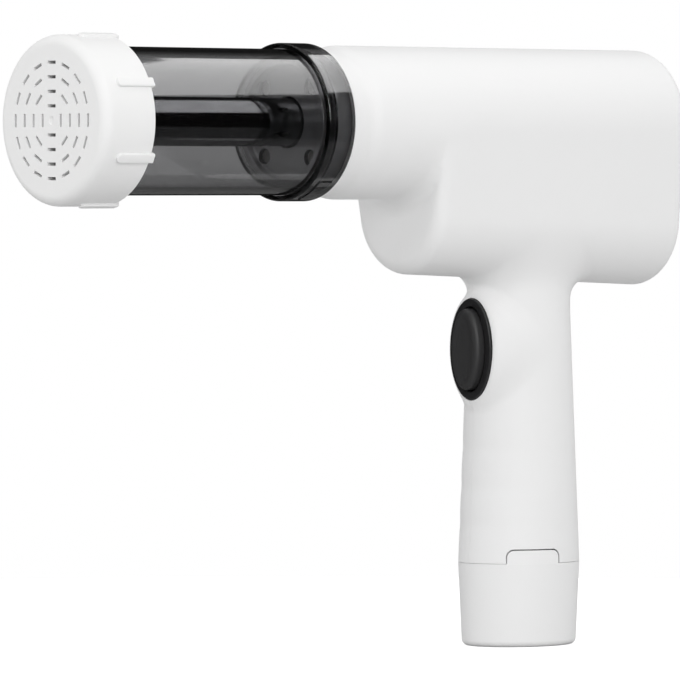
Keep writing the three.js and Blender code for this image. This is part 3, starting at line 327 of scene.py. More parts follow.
def mesh_object(name, points, faces):
    """A new object, from points in millimetres."""
    mesh = bpy.data.meshes.new(name)
    mesh.from_pydata((np.asarray(points, float) * MM).tolist(), [], [list(f) for f in faces])
    mesh.validate()
    mesh.update()
    made = bpy.data.objects.new(name, mesh)
    bpy.context.scene.collection.objects.link(made)
    return made


def settle(piece):
    """Applies a piece's modifiers."""
    bpy.context.view_layer.update()
    shaped = piece.evaluated_get(bpy.context.evaluated_depsgraph_get())
    mesh = bpy.data.meshes.new_from_object(shaped)
    piece.modifiers.clear()
    piece.data = mesh
    return piece


def combine(piece, tools, operation):
    """Joins, cuts or keeps by each tool in turn, and uses the tools up."""
    for tool in tools:
        step = piece.modifiers.new("combine", "BOOLEAN")
        step.operation = operation
        step.solver = "MANIFOLD"
        step.object = tool
        settle(piece)
        bpy.data.objects.remove(tool)
    return piece


def cut(piece, *tools):
    return combine(piece, tools, "DIFFERENCE")


def join(piece, *tools):
    return combine(piece, tools, "UNION")


def keep(piece, *tools):
    return combine(piece, tools, "INTERSECT")


def copy_of(source, name="copy"):
    made = bpy.data.objects.new(name, source.data.copy())
    made.matrix_world = source.matrix_world.copy()
    bpy.context.scene.collection.objects.link(made)
    return made


def face_outwards(piece):
    """Turns a closed mesh's faces outwards, by the sign of its volume."""
    mesh = piece.data
    mesh.calc_loop_triangles()
    corners = np.array([v.co for v in mesh.vertices])
    triangles = corners[np.array([t.vertices for t in mesh.loop_triangles])]
    crossed = np.cross(triangles[:, 1], triangles[:, 2])
    volume = np.einsum("ij,ij->i", triangles[:, 0], crossed).sum()
    if volume < 0:
        mesh.flip_normals()


def loft(name, rings, ends=True):
    """A closed skin over rings of equally many points, with fans over both ends, or with the
    last ring led back to the first."""
    count = len(rings[0])
    points = [point for ring in rings for point in ring]
    faces = []
    for level in range(len(rings) - 1):
        for i in range(count):
            a = level * count + i
            b = level * count + (i + 1) % count
            faces.append((a, b, b + count, a + count))
    if ends:
        for start, turn in ((0, True), (len(points) - count, False)):
            points.append(tuple(np.mean(rings[0 if turn else -1], axis=0)))
            for i in range(count):
                pair = (start + i, start + (i + 1) % count)
                faces.append((len(points) - 1, *(pair[::-1] if turn else pair)))
    else:
        last = len(points) - count
        faces += [(last + i, last + (i + 1) % count, (i + 1) % count, i) for i in range(count)]
    made = mesh_object(name, points, faces)
    face_outwards(made)
    return made


def rounded(corners, radius, steps=CORNER_STEPS):
    """A closed outline with its corners rounded. A radius may be given for each corner."""
    radii = radius if hasattr(radius, "__len__") else [radius] * len(corners)
    outline = []
    for i, corner in enumerate(corners):
        here = Vector(corner)
        before = Vector(corners[i - 1]) - here
        after = Vector(corners[(i + 1) % len(corners)]) - here
        opening = before.angle(after)
        if radii[i] <= 0 or opening > STRAIGHT:
            outline.append(tuple(here))
            continue
        longest = (before.length * CORNER_SHARE, after.length * CORNER_SHARE)
        reach = min(radii[i] / math.tan(opening / 2), *longest)
        size = reach * math.tan(opening / 2)
        middle = (before.normalized() + after.normalized()).normalized()
        centre = here + middle * size / math.sin(opening / 2)
        first = here + before.normalized() * reach - centre
        last = here + after.normalized() * reach - centre
        sweep = first.angle(last)
        for j in range(steps + 1):
            share = j / steps
            near_first = first * math.sin((1 - share) * sweep)
            near_last = last * math.sin(share * sweep)
            outline.append(tuple(centre + (near_first + near_last) / math.sin(sweep)))
    return outline


def turned(name, profile, segments=SEGMENTS):
    """A piece turned about the barrel's axis. The profile is a closed outline of (x, radius)
    that stays off the axis, or an open one that starts and ends on it."""
    solid = profile[0][1] < TINY
    inner = profile[1:-1] if solid else profile
    angles = np.arange(segments) * 2 * math.pi / segments
    rings = [
        [(x, radius * math.cos(a), BARREL_HEIGHT + radius * math.sin(a)) for a in angles]
        for x, radius in inner
    ]
    return loft(name, rings, ends=solid)


def bar(name, axis, radius, start, end, at):
    """A round bar along one axis, from one place on it to another, beside a point."""
    across = [i for i in range(3) if i != axis]
    rings = []
    for place in (start, end):
        ring = []
        for i in range(BAR_SEGMENTS):
            angle = 2 * math.pi * i / BAR_SEGMENTS
            point = list(at)
            point[axis] += place
            point[across[0]] += radius * math.cos(angle)
            point[across[1]] += radius * math.sin(angle)
            ring.append(tuple(point))
        rings.append(ring)
    return loft(name, rings)


def block(name, x, y, z):
    """A box between two values on each axis."""
    points = [(a, b, c) for a in x for b in y for c in z]
    faces = [(0, 1, 3, 2), (4, 6, 7, 5), (0, 4, 5, 1), (2, 3, 7, 6), (0, 2, 6, 4), (1, 5, 7, 3)]
    made = mesh_object(name, points, faces)
    face_outwards(made)
    return made


def oval_turned(name, profile, half_width, half_height, closed, segments=PAD_SEGMENTS):
    """A piece about the button's middle, drawn in from an oval: the profile is (x, inset)."""
    angles = np.arange(segments) * 2 * math.pi / segments
    rings = []
    for x, inset in profile:
        wide = half_width - inset
        tall = half_height - inset
        rings.append([
            (x, wide * math.cos(a), BUTTON_HEIGHT + tall * math.sin(a)) for a in angles
        ])
    return loft(name, rings, ends=closed)


def turn_about_barrel(piece, angle):
    centre = Vector((0, 0, BARREL_HEIGHT * MM))
    turn = Matrix.Rotation(angle, 4, "X")
    piece.data.transform(Matrix.Translation(centre) @ turn @ Matrix.Translation(-centre))


def smooth(piece):
    """Smooth shading that keeps sharp edges, with large faces flat up to their roundings."""
    piece.data.shade_smooth()
    piece.data.set_sharp_from_angle(angle=math.radians(SHARP_ANGLE))
    shading = piece.modifiers.new("shading", "WEIGHTED_NORMAL")
    shading.keep_sharp = True
    shading.weight = FACE_WEIGHT
    return settle(piece)


# Smooth skins, from fields that are negative inside

def slope(field, points):
    """The field's gradient, by differences."""
    result = np.zeros_like(points)
    for axis in range(3):
        shift = np.zeros(3)
        shift[axis] = SLOPE_REACH
        ahead = field(*(points + shift).T)
        behind = field(*(points - shift).T)
        result[:, axis] = (ahead - behind) / (2 * SLOPE_REACH)
    return result


def onto(field, points, step):
    """Moves points onto the field's zero, by at most a step at a time."""
    for _ in range(PULL_ROUNDS):
        value = field(*points.T)
        gradient = slope(field, points)
        steepness = np.maximum((gradient ** 2).sum(1), LEAST_STEEPNESS)
        move = -(value / steepness)[:, None] * gradient
        length = np.linalg.norm(move, axis=1, keepdims=True)
        points = points + move * np.minimum(1, step / np.maximum(length, LEAST_MOVE))
    return points


def mixed_cells(inside):
    """The cells of a grid whose corners lie on both sides of the field's zero."""
    shape = np.array(inside.shape)
    corners = np.zeros(shape - 1, int)
    for shift in itertools.product((0, 1), repeat=3):
        near = tuple(slice(s, s + n - 1) for s, n in zip(shift, shape))
        corners += inside[near]
    return (corners > 0) & (corners < 8)


def cell_quads(inside, number):
    """A quad round each grid edge that crosses the field's zero, by its four cells' numbers."""
    quads = []
    for axis in range(3):
        first, second = np.eye(3, dtype=int)[[(axis + 1) % 3, (axis + 2) % 3]]
        near = inside.take(range(inside.shape[axis] - 1), axis)
        far = inside.take(range(1, inside.shape[axis]), axis)
        edges = np.argwhere(near != far)
        around = (edges - first - second, edges - second, edges, edges - first)
        faces = np.stack([number[tuple(cell.T)] for cell in around], 1)
        turn = far[tuple(edges.T)]
        faces[turn] = faces[turn][:, ::-1]
        quads.append(faces)
    return np.concatenate(quads)


def skin(name, field, low, high, step):
    """A closed mesh of quads over the field's zero, with its points evened out."""
    axes = [np.arange(a, b + step, step) for a, b in zip(low, high)]
    inside = field(*np.meshgrid(*axes, indexing="ij")) < 0
    mixed = mixed_cells(inside)
    number = np.full(mixed.shape, -1)
    number[mixed] = np.arange(mixed.sum())
    quads = cell_quads(inside, number)
    pairs = np.concatenate([quads[:, [i, (i + 1) % 4]] for i in range(4)])
    centres = np.array(low) + (np.argwhere(mixed) + 0.5) * step
    points = onto(field, centres, step)
    for _ in range(EVENING_ROUNDS):
        total = np.zeros_like(points)
        count = np.zeros(len(points))
        for a, b in (pairs.T, pairs.T[::-1]):
            np.add.at(total, a, points[b])
            np.add.at(count, a, 1)
        points = onto(field, points / 2 + total / count[:, None] / 2, step)
    made = mesh_object(name, points, quads.tolist())
    face_outwards(made)
    return made


def two_circles(y, z, upper, lower, drop):
    """Distance, across the barrel, to the hull of a circle and a smaller one below it."""
    side = np.abs(y)
    lean = (upper - lower) / drop
    flat = np.sqrt(1 - lean ** 2)
    along = -z * flat - side * lean
    flank = side * flat - z * lean - upper
    over = np.hypot(side, z) - upper
    under = np.hypot(side, z + drop) - lower
    return np.where(along < 0, over, np.where(along > flat * drop, under, flank))


def quarter(reach, radius):
    """How far a quarter round of this radius has turned in, at a reach along it."""
    run = np.clip(reach, 0, radius)
    return radius - np.sqrt(radius ** 2 - run ** 2)


def oval(a, b, half_a, half_b):
    """About the distance to an ellipse in its own plane."""
    size = np.sqrt((a / half_a) ** 2 + (b / half_b) ** 2) + TINY
    steep = np.sqrt((a / half_a ** 2) ** 2 + (b / half_b ** 2) ** 2) + TINY
    return (size - 1) * size / steep


def blend(first, second, radius):
    """Both solids together, with a fillet where they meet."""
    near = np.hypot(np.maximum(radius - first, 0), np.maximum(radius - second, 0))
    return np.maximum(radius, np.minimum(first, second)) - near


def body_field(x, y, z):
    """The barrel's housing with its collar, and the belly that hangs below it."""
    up = z - BARREL_HEIGHT
    face = -BELLY_REACH
    share = np.clip((x - face) / (BELLY_REACH + TAIL_REACH), 0, 1)
    belly = BELLY_RADIUS + BELLY_SWELL * share
    drop = BELLY_DROP + BELLY_FALL * share
    ramp = np.clip((x + NOSE_REACH - COLLAR_LENGTH) / COLLAR_RAMP, 0, 1)
    ease = ramp * ramp * (3 - 2 * ramp)
    dip = COLLAR_STEP + COLLAR_TAPER * np.clip((x + NOSE_REACH) / COLLAR_LENGTH, 0, 1)
    radius = BARREL_RADIUS - dip * (1 - ease)
    full_depth = BELLY_DROP + BELLY_RADIUS - BELLY_FILLET - BARREL_RADIUS
    throat = quarter(x - face + THROAT_FILLET, THROAT_FILLET)
    reach = np.maximum(throat / full_depth, LEAST_THROAT)
    lower = radius + reach * (BELLY_RADIUS - BELLY_FILLET - radius)
    nose = np.maximum(two_circles(y, up, radius, lower, BELLY_DROP * reach), x)
    front = quarter(face + BELLY_FILLET - x, BELLY_FILLET)
    rear = quarter(x - TAIL_REACH + TAIL_FILLET, TAIL_FILLET)
    tank = two_circles(y, up, BARREL_RADIUS - rear, belly - front - rear, drop)
    return np.minimum(nose, np.maximum(tank, np.maximum(face - x, x - TAIL_REACH)))


def grip_half_length(z):
    """Half the grip's length from front to back, at a height."""
    seam = SEAM_HEIGHT
    spread = SEAM_HALF_LENGTH - FOOT_HALF_LENGTH
    below = FOOT_HALF_LENGTH + spread * np.minimum(z, seam) / seam
    share = np.clip((z - seam) / (NECK_HEIGHT - seam), 0, 1)
    above = SEAM_HALF_LENGTH + (NECK_HALF_LENGTH - SEAM_HALF_LENGTH) * share
    return np.where(z < seam, below, above)


def grip_field(x, y, z):
    """The oval grip, with faint waves for the fingers in front."""
    length = grip_half_length(z)
    front = np.clip(-x / length, 0, 1) ** 2
    for height in FINGER_HEIGHTS:
        length = length - FINGER_DEPTH * front * np.exp(-((z - height) / FINGER_SPREAD) ** 2)
    return np.maximum(oval(x, y, length, length * WIDTH_SHARE), z - BARREL_HEIGHT)


def seat_field(x, y, z):
    """The face round the bezel, whose edge rounds off into the grip's sides."""
    front = BEZEL_FRONT + SEAT_SINK
    spread = float(grip_half_length(np.float64(BUTTON_HEIGHT))) * WIDTH_SHARE
    share = np.clip(x / front, 0, 1)
    proud = SEAT_RIM + (spread - BEZEL_WIDTH / 2 - SEAT_RIM) * np.sqrt(1 - share ** 2)
    side = oval(y, z - BUTTON_HEIGHT, BEZEL_WIDTH / 2 + proud, BEZEL_TALL / 2 + proud)
    return np.maximum(side, np.maximum(front - x, x))


def housing_field(x, y, z):
    fillet = SEAT_FILLET * np.clip(x / BEZEL_FRONT, LEAST_SEAT_FILLET, 1)
    grip = blend(grip_field(x, y, z), seat_field(x, y, z), fillet)
    joined = blend(body_field(x, y, z), grip, GRIP_FILLET)
    beyond = np.maximum(-NOSE_REACH - SKIN_OVERRUN - x, SEAM_HEIGHT - SKIN_OVERRUN - z)
    return np.maximum(joined, beyond)


def hollow_field(x, y, z):
    return housing_field(x, y, z) + WALL + SHELL_ROOM


# Housing shells

def tab_prism(side, gap):
    """What a side tab of the pack takes up, and with a gap the notch that it sits in."""
    half = TAB_WIDTH / 2 + gap
    top = TAB_RISE + gap
    corner = TAB_CORNER + gap
    outline = rounded([(-half, -2 * FIT), (half, -2 * FIT), (half, top), (-half, top)],
                      [0, 0, corner, corner], steps=TAB_STEPS)
    outward = np.array([-math.sin(TAB_LEAN), side * math.cos(TAB_LEAN), 0])
    along = np.cross([0, 0, 1], outward)
    offset = SEAM_HALF_LENGTH * math.sin(TAB_LEAN) * (1 - WIDTH_SHARE) * math.cos(TAB_LEAN)
    base = np.array([-offset, 0, SEAM_HEIGHT - FIT])
    rings = [
        [tuple(base + along * a + np.array([0, 0, b]) + outward * reach) for a, b in outline]
        for reach in (0, 2 * SEAM_HALF_LENGTH)
    ]
    return loft("tab", rings)


def bezel_hole():
    profile = [(-2 * SEAM_HALF_LENGTH, 0), (BEZEL_HOLE_END, 0)]
    return oval_turned("hole", profile, BEZEL_WIDTH / 2, BEZEL_TALL / 2, True, HOLE_SEGMENTS)


def screw_places():
    """Where the shell screws stand in the housing's side, as (x, z)."""
    places = []
    for number in range(1, SHELL_SCREWS + 1):
        low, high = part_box(f"shell_screw_{number}")
        middle = (low + high) / 2 / MM
        places.append((middle.x, middle.z))
    return places


def housing_shells():
    """Both halves of the housing, each with the ribs and bosses that its solid has inside."""
    far = 2 * NOSE_REACH
    low = np.array([-NOSE_REACH, -BARREL_RADIUS, SEAM_HEIGHT]) - SKIN_ROOM_BELOW
    high = np.array([TAIL_REACH, BARREL_RADIUS, BARREL_HEIGHT + BARREL_RADIUS]) + SKIN_ROOM_ABOVE
    outside = skin("outside", housing_field, low, high, SKIN_STEP)
    hollow = skin("hollow", hollow_field, low, high, HOLLOW_STEP)
    room = ((-NOSE_REACH, far), (-far, far), (SEAM_HEIGHT, far * 2))
    core = keep(copy_of(hollow), block("box", *room))
    keep(outside, block("box", *room))
    whole = cut(outside, hollow)
    cut(whole, bezel_hole(), tab_prism(-1, TAB_GAP), tab_prism(1, TAB_GAP))
    for node, side in (("housing_left", -1), ("housing_right", 1)):
        span = sorted((side * SHELL_GAP / 2, side * far))
        half = keep(copy_of(whole, "shell"), block("box", (-far, far), span, (0, 2 * far)))
        join(half, keep(copy_of(frame["nodes"][node]), copy_of(core)))
        if side > 0:
            drill_for_screws(half, far)
        half.name = node.replace("housing", "shell")
        smooth(half)
        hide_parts(node)
        dress(half, "housing", "white_plastic")
    bpy.data.objects.remove(whole)
    bpy.data.objects.remove(core)


def drill_for_screws(half, far):
    """The shell screws' holes, wide from the outside down to the heads."""
    holes = ((SHELL_SCREW_HEAD + FIT, SHELL_SCREW_SIDE), (SHELL_SCREW_RADIUS + FIT, 0))
    for x, z in screw_places():
        for radius, start in holes:
            cut(half, bar("hole", 1, radius, start, far, (x, 0, z)))


# Battery pack

def oval_ring(z, inset):
    """The pack's outline at a height, drawn in by an inset."""
    length = float(grip_half_length(np.float64(z)))
    width = length * WIDTH_SHARE
    angles = np.arange(SEGMENTS) * 2 * math.pi / SEGMENTS
    return [((length - inset) * math.cos(a), (width - inset) * math.sin(a), z) for a in angles]


def battery_shell():
    top = SEAM_HEIGHT - SEAM_GAP
    foot = [
        oval_ring(FOOT_FILLET * (1 - math.cos(a)), FOOT_FILLET * (1 - math.sin(a)))
        for a in np.linspace(0, math.pi / 2, FOOT_POINTS)
    ]
    edge = SEAM_EDGE
    near_edge = edge * EDGE_SHARE
    rim = [oval_ring(top - edge, 0), oval_ring(top - near_edge, near_edge), oval_ring(top, edge)]
    cup = loft("battery_pack", foot + rim)
    cut(cup, loft("hollow", [oval_ring(PACK_WALL, PACK_WALL), oval_ring(top + OVERRUN, PACK_WALL)]))
    tab_top = top + TAB_RISE + OVERRUN
    band = loft("band", [oval_ring(top - OVERRUN, TAB_SINK), oval_ring(tab_top, TAB_SINK)])
    bore = (oval_ring(top - 2 * OVERRUN, PACK_WALL), oval_ring(tab_top + OVERRUN, PACK_WALL))
    cut(band, loft("bore", bore))
    for side in (-1, 1):
        join(cup, keep(copy_of(band), tab_prism(side, 0)))
    bpy.data.objects.remove(band)
    low, high = (np.array(corner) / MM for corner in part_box("charge_socket"))
    cut(cup, block("hole", (low[0] - FIT, 2 * SEAM_HALF_LENGTH), (low[1] - FIT, high[1] + FIT),
                   (low[2] - FIT, high[2] + FIT)))
    smooth(cup)
    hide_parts("battery_shell")
    dress(cup, "battery", "white_plastic")


# Barrel

def thread_ridge(name, root, crest, start, end):
    """A helical ridge, wider at its root than at its crest."""
    root_half = THREAD_ROOT_SHARE * THREAD_LEAD / 2
    crest_half = THREAD_CREST_SHARE * THREAD_LEAD / 2
    section = ((-root_half, root), (-crest_half, crest), (crest_half, crest), (root_half, root))
    rings = []
    for i in range(round((end - start) / THREAD_LEAD * THREAD_STEPS) + 1):
        angle = 2 * math.pi * i / THREAD_STEPS
        x = start + THREAD_LEAD * i / THREAD_STEPS
        rings.append([
            (x + along, radius * math.cos(angle), BARREL_HEIGHT + radius * math.sin(angle))
            for along, radius in section
        ])
    return loft(name, rings)


def barrel_tube():
    profile = rounded([(TUBE_FRONT, TUBE_BORE), (TUBE_FRONT, TUBE_RADIUS), (TUBE_REAR, TUBE_RADIUS),
                       (TUBE_REAR, TUBE_BORE)], TUBE_FILLET)
    tube = turned("smoky_tube", profile)
    start = TUBE_FRONT + THREAD_HEIGHT
    join(tube, thread_ridge("ridge", TUBE_RADIUS - ROOT_DEPTH, TUBE_RADIUS + THREAD_HEIGHT,
                            start, start + THREAD_TURNS * THREAD_LEAD))
    smooth(tube)
    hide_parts("barrel_tube")
    dress(tube, "barrel", "smoky_plastic")


def ring_pad():
    """The low pad on the lock ring's outside, cut from a band round it."""
    centre = (RING_FRONT + RING_REAR) / 2
    front = centre - RING_PAD_LENGTH / 2
    rear = centre + RING_PAD_LENGTH / 2
    root = RING_RADIUS - ROOT_DEPTH
    top = RING_RADIUS + RING_PAD_HEIGHT
    band = turned("band", rounded([(front, root), (front, top), (rear, top), (rear, root)],
                                  [0, RING_PAD_FILLET, RING_PAD_FILLET, 0]))
    over = block("box", (RING_FRONT, RING_REAR), (-RING_PAD_WIDTH / 2, RING_PAD_WIDTH / 2),
                 (BARREL_HEIGHT, BARREL_HEIGHT + 2 * RING_RADIUS))
    turn_about_barrel(over, RING_PAD_TURN)
    return keep(band, over)


def lock_ring():
    """The ring round the tube, with the solid's own lugs inside."""
    bore = TUBE_RADIUS + FIT
    profile = rounded([(RING_FRONT, bore), (RING_FRONT, RING_RADIUS), (RING_REAR, RING_RADIUS),
                       (RING_REAR, bore)], RING_FILLETS, steps=RING_STEPS)
    ring = turned("bayonet_ring", profile)
    join(ring, ring_pad())
    front = RING_FRONT - RING_LUG_REACH
    rear = RING_REAR + RING_LUG_REACH
    inside = TUBE_BORE - RING_LUG_DEPTH
    outside = bore + RING_LUG_OVERLAP
    lugs = turned("inner", [(front, inside), (front, outside), (rear, outside), (rear, inside)])
    join(ring, keep(copy_of(frame["nodes"]["lock_ring"]), lugs))
    smooth(ring)
    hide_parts("lock_ring")
    dress(ring, "barrel", "smoky_plastic")


# Die cap

def rounded_rib(start, end, bottom, top, width):
    """A grip rib along X, with a round front end and rounded edges on top."""
    edge = CAP_RIB_EDGE
    near_edge = edge * EDGE_SHARE
    rings = []
    for inset, height in ((0, bottom), (0, top - edge), (near_edge, top - near_edge), (edge, top)):
        nose = width / 2 - inset
        outline = rounded([(start + inset, -width / 2 + inset), (end - inset, -width / 2 + inset),
                           (end - inset, nose), (start + inset, nose)],
                          [nose, CAP_RIB_END_FILLET, CAP_RIB_END_FILLET, nose], steps=RIB_STEPS)
        rings.append([(x, y, BARREL_HEIGHT + height) for x, y in outline])
    return loft("rib", rings)


def add_ribs(cap):
    start = CAP_FRONT + CAP_RIB_SETBACK - CAP_RIB_WIDTH / 2
    for i in range(CAP_RIBS):
        rib = rounded_rib(start, CAP_REAR + CAP_RIB_OVERHANG, CAP_RADIUS - CAP_RIB_ROOT,
                          CAP_RADIUS + CAP_RIB_PROUD, CAP_RIB_WIDTH)
        turn_about_barrel(rib, math.pi / 2 + math.pi / CAP_RIBS + 2 * math.pi * i / CAP_RIBS)
        join(cap, rib)


def cut_slots(cap):
    for ring in range(1, SLOT_RINGS + 1):
        count = SLOTS_PER_RING * ring
        for i in range(count):
            slot = block("slot", (CAP_FRONT - OVERRUN, DIE_INSIDE + OVERRUN),
                         (-SLOT_LENGTH / 2, SLOT_LENGTH / 2),
                         (BARREL_HEIGHT + ring * SLOT_PITCH - SLOT_WIDTH / 2,
                          BARREL_HEIGHT + ring * SLOT_PITCH + SLOT_WIDTH / 2))
            turn_about_barrel(slot, 2 * math.pi * i / count)
            cut(cap, slot)


def cut_dimple(cap):
    dimple = [(CAP_FRONT - OVERRUN, 0), (CAP_FRONT - OVERRUN, DIMPLE_RADIUS)]
    dimple += [(CAP_FRONT + DIMPLE_DEPTH * math.sin(a), DIMPLE_RADIUS * math.cos(a))
               for a in np.linspace(0, math.pi / 2, QUARTER_POINTS)]
    cut(cap, turned("dimple", dimple, segments=BAR_SEGMENTS))


def die_cap():
    seal_bore = TUBE_RADIUS + 2 * FIT
    profile = rounded(
        [(CAP_FRONT, 0), (CAP_FRONT, CAP_RADIUS), (CAP_REAR, CAP_RADIUS), (CAP_REAR, CAP_BORE),
         (TUBE_FRONT, CAP_BORE), (TUBE_FRONT, seal_bore), (DIE_INSIDE, seal_bore), (DIE_INSIDE, 0)],
        [0, CAP_FILLET, CAP_MOUTH_FILLET, CAP_BORE_FILLET, 0, 0, 0, 0], steps=CAP_STEPS)
    cap = turned("slotted_cap", profile)
    add_ribs(cap)
    cut_slots(cap)
    cut_dimple(cap)
    smooth(cap)
    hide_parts("die_cap")
    dress(cap, "cap", "cap_plastic")


# Front plate and rod

def plate_screw_places():
    """Where the front plate's screws stand, as (y, z)."""
    angles = [math.pi / 4 + 2 * math.pi * i / PLATE_SCREWS for i in range(PLATE_SCREWS)]
    return [
        (SCREW_CIRCLE * math.cos(a), BARREL_HEIGHT + SCREW_CIRCLE * math.sin(a)) for a in angles
    ]


def paint_shade_round_screw_holes(plate):
    """Paints shade on the walls round the screw heads: the faces there take a black material."""
    plate.data.materials.append(materials["black_plastic"])
    centres = plate_screw_places()
    for face in plate.data.polygons:
        x, y, z = face.center / MM
        near = min(math.hypot(y - a, z - b) for a, b in centres)
        if near < SCREW_HEAD_RADIUS + PAINTED_SHADE_WIDTH and x > PLATE_FLOOR + PAINTED_SHADE_START:
            face.material_index = 1


def front_plate():
    """The plate's face with its raised rim, in front of the solid's own rear."""
    bore = ROD_RADIUS + 2 * FIT
    rim = PLATE_RADIUS - RIM_WIDTH
    back = PLATE_FLOOR + PLATE_FACE_DEPTH
    profile = rounded([(PLATE_FLOOR, bore), (PLATE_FLOOR, rim), (PLATE_FRONT, rim),
                       (PLATE_FRONT, PLATE_RADIUS), (PLATE_REAR, PLATE_RADIUS), (PLATE_REAR, rim),
                       (back, rim), (back, bore)], PLATE_FILLETS)
    plate = turned("tube_plate", profile)
    rear = block("box", (PLATE_SPLIT, 0), (-PLATE_ROOM, PLATE_ROOM),
                 (BARREL_HEIGHT - PLATE_ROOM, BARREL_HEIGHT + PLATE_ROOM))
    join(plate, keep(copy_of(frame["nodes"]["front_plate"]), rear))
    holes = ((SCREW_HEAD_RADIUS + FIT, PLATE_FLOOR + SCREW_SINK),
             (SCREW_HOLE_RADIUS, PLATE_REAR + CUT_REACH))
    for y, z in plate_screw_places():
        for radius, end in holes:
            cut(plate, bar("hole", 0, radius, PLATE_FRONT - CUT_REACH, end, (0, y, z)))
    smooth(plate)
    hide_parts("front_plate")
    # The plate takes a light grey, a painted reflection, in place of its dark gloss plastic
    dress(plate, "housing", "dark_gloss_plastic", look="plate_painted_reflection")
    # Painted shade: black faces on the walls round the screw heads
    paint_shade_round_screw_holes(plate)


def push_rod():
    low, high = (np.array(corner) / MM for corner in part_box("push_rod"))
    outline = [(low[0], 0), (low[0], ROD_STEM_RADIUS), (ROD_SHOULDER, ROD_STEM_RADIUS),
               (ROD_SHOULDER, ROD_RADIUS), (high[0], ROD_RADIUS), (high[0], ROD_BORE),
               (ROD_BORE_END, ROD_BORE), (ROD_BORE_END, 0)]
    edge = ROD_FILLET
    rod = turned("piston_rod", rounded(outline, [0, edge, 0, edge, edge, edge, 0, 0]))
    smooth(rod)
    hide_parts("push_rod")
    dress(rod, "pusher", "dark_gloss_plastic")


# Button

def bezel():
    rear = BEZEL_FRONT + BEZEL_DEPTH
    profile = rounded([(BEZEL_FRONT, FIT), (BEZEL_FRONT, BEZEL_RING), (rear, BEZEL_RING),
                       (rear, FIT)], BEZEL_FILLETS)
    ring = oval_turned("button_frame", profile, BEZEL_WIDTH / 2, BEZEL_TALL / 2, False)
    smooth(ring)
    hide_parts("button_bezel")
    dress(ring, "housing", "black_plastic")


def rocker():
    """The dished pad, in front of the solid's own levers."""
    inset = BEZEL_RING + BUTTON_GAP
    front = BEZEL_FRONT - BUTTON_PROUD
    back = BEZEL_FRONT + BUTTON_BACK
    profile = [(back, 0), (front + PAD_FILLET, 0)]
    profile += [(front + PAD_FILLET * (1 - math.sin(a)), PAD_FILLET * (1 - math.cos(a)))
                for a in np.linspace(0, math.pi / 2, QUARTER_POINTS)[1:]]
    profile += [(front + depth, inwards) for depth, inwards in PAD_DISH]
    pad = oval_turned("rocker_pad", profile, BEZEL_WIDTH / 2 - inset, BEZEL_TALL / 2 - inset, True)
    behind = block("box", (back - PAD_OVERLAP, ROCKER_REAR),
                   (-ROCKER_HALF_WIDTH, ROCKER_HALF_WIDTH),
                   (BUTTON_HEIGHT - ROCKER_HALF_HEIGHT, BUTTON_HEIGHT + ROCKER_HALF_HEIGHT))
    join(pad, keep(copy_of(frame["nodes"]["rocker_button"]), behind))
    smooth(pad)
    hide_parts("rocker_button")
    dress(pad, "rocker", "button_rubber")


# Shader nodes, whose inputs are other nodes' outputs or plain values

def feed(tree, socket, value):
    if isinstance(value, bpy.types.NodeSocket):
        tree.links.new(value, socket)
    else:
        socket.default_value = value


def mix(tree, kind, factor, first, second):
    """Goes from the first to the second as the factor goes from 0 to 1."""
    node = tree.nodes.new("ShaderNodeMix")
    node.data_type = kind
    for name, value in (("Factor", factor), ("A", first), ("B", second)):
        feed(tree, node.inputs[name], value)
    return node.outputs["Result"]


def calculate(tree, operation, first, second, clamp=False):
    node = tree.nodes.new("ShaderNodeMath")
    node.operation = operation
    node.use_clamp = clamp
    feed(tree, node.inputs[0], first)
    feed(tree, node.inputs[1], second)
    return node.outputs["Value"]


def map_range(tree, value, source, target, interpolation="LINEAR"):
    """Maps one range of values onto another."""
    node = tree.nodes.new("ShaderNodeMapRange")
    node.interpolation_type = interpolation
    feed(tree, node.inputs["Value"], value)
    limits = zip(("From Min", "From Max", "To Min", "To Max"), (*source, *target))
    for name, limit in limits:
        node.inputs[name].default_value = limit
    return node.outputs["Result"]


def noise(tree, place, scale, detail):
    node = tree.nodes.new("ShaderNodeTexNoise")
    node.inputs["Scale"].default_value = scale
    node.inputs["Detail"].default_value = detail
    tree.links.new(place, node.inputs["Vector"])
    return node.outputs["Fac"]


# Materials

def node_material(name, color, roughness, metallic=0.0, grain=GRAIN, bump=0.02, vary=0.04,
                  **sockets):
    """A moulded or machined surface: fine grain in its bump, and a slow change of gloss and
    tone. Further sockets of the shader may be named, with _ for a space."""
    material = bpy.data.materials.new(name)
    material.use_nodes = True
    tree = material.node_tree
    shader = tree.nodes["Principled BSDF"]
    shader.inputs["Metallic"].default_value = metallic
    for key, value in sockets.items():
        shader.inputs[key.replace("_", " ")].default_value = value
    place = tree.nodes.new("ShaderNodeTexCoord").outputs["Object"]
    patches = noise(tree, place, PATCH_SCALE, PATCH_DETAIL)
    darker = (*[c * (1 - vary) for c in color], 1)
    feed(tree, shader.inputs["Base Color"], mix(tree, "RGBA", patches, darker, (*color, 1)))
    glosses = (roughness * (1 - GLOSS_SPREAD), roughness * (1 + GLOSS_SPREAD))
    feed(tree, shader.inputs["Roughness"], map_range(tree, patches, (0, 1), glosses))
    height = tree.nodes.new("ShaderNodeBump")
    height.inputs["Strength"].default_value = bump
    height.inputs["Distance"].default_value = grain / GRAIN_DEPTHS
    feed(tree, height.inputs["Height"], noise(tree, place, 1 / grain, GRAIN_DETAIL))
    feed(tree, shader.inputs["Normal"], height.outputs["Normal"])
    return material


def darken_by_depth(material):
    """Makes clear plastic smoky: the more of it light goes through, the darker it gets."""
    tree = material.node_tree
    depth = tree.nodes.new("ShaderNodeVolumeAbsorption")
    depth.inputs["Color"].default_value = SMOKE_COLOR
    depth.inputs["Density"].default_value = SMOKE_DENSITY
    tree.links.new(depth.outputs["Volume"], tree.nodes["Material Output"].inputs["Volume"])


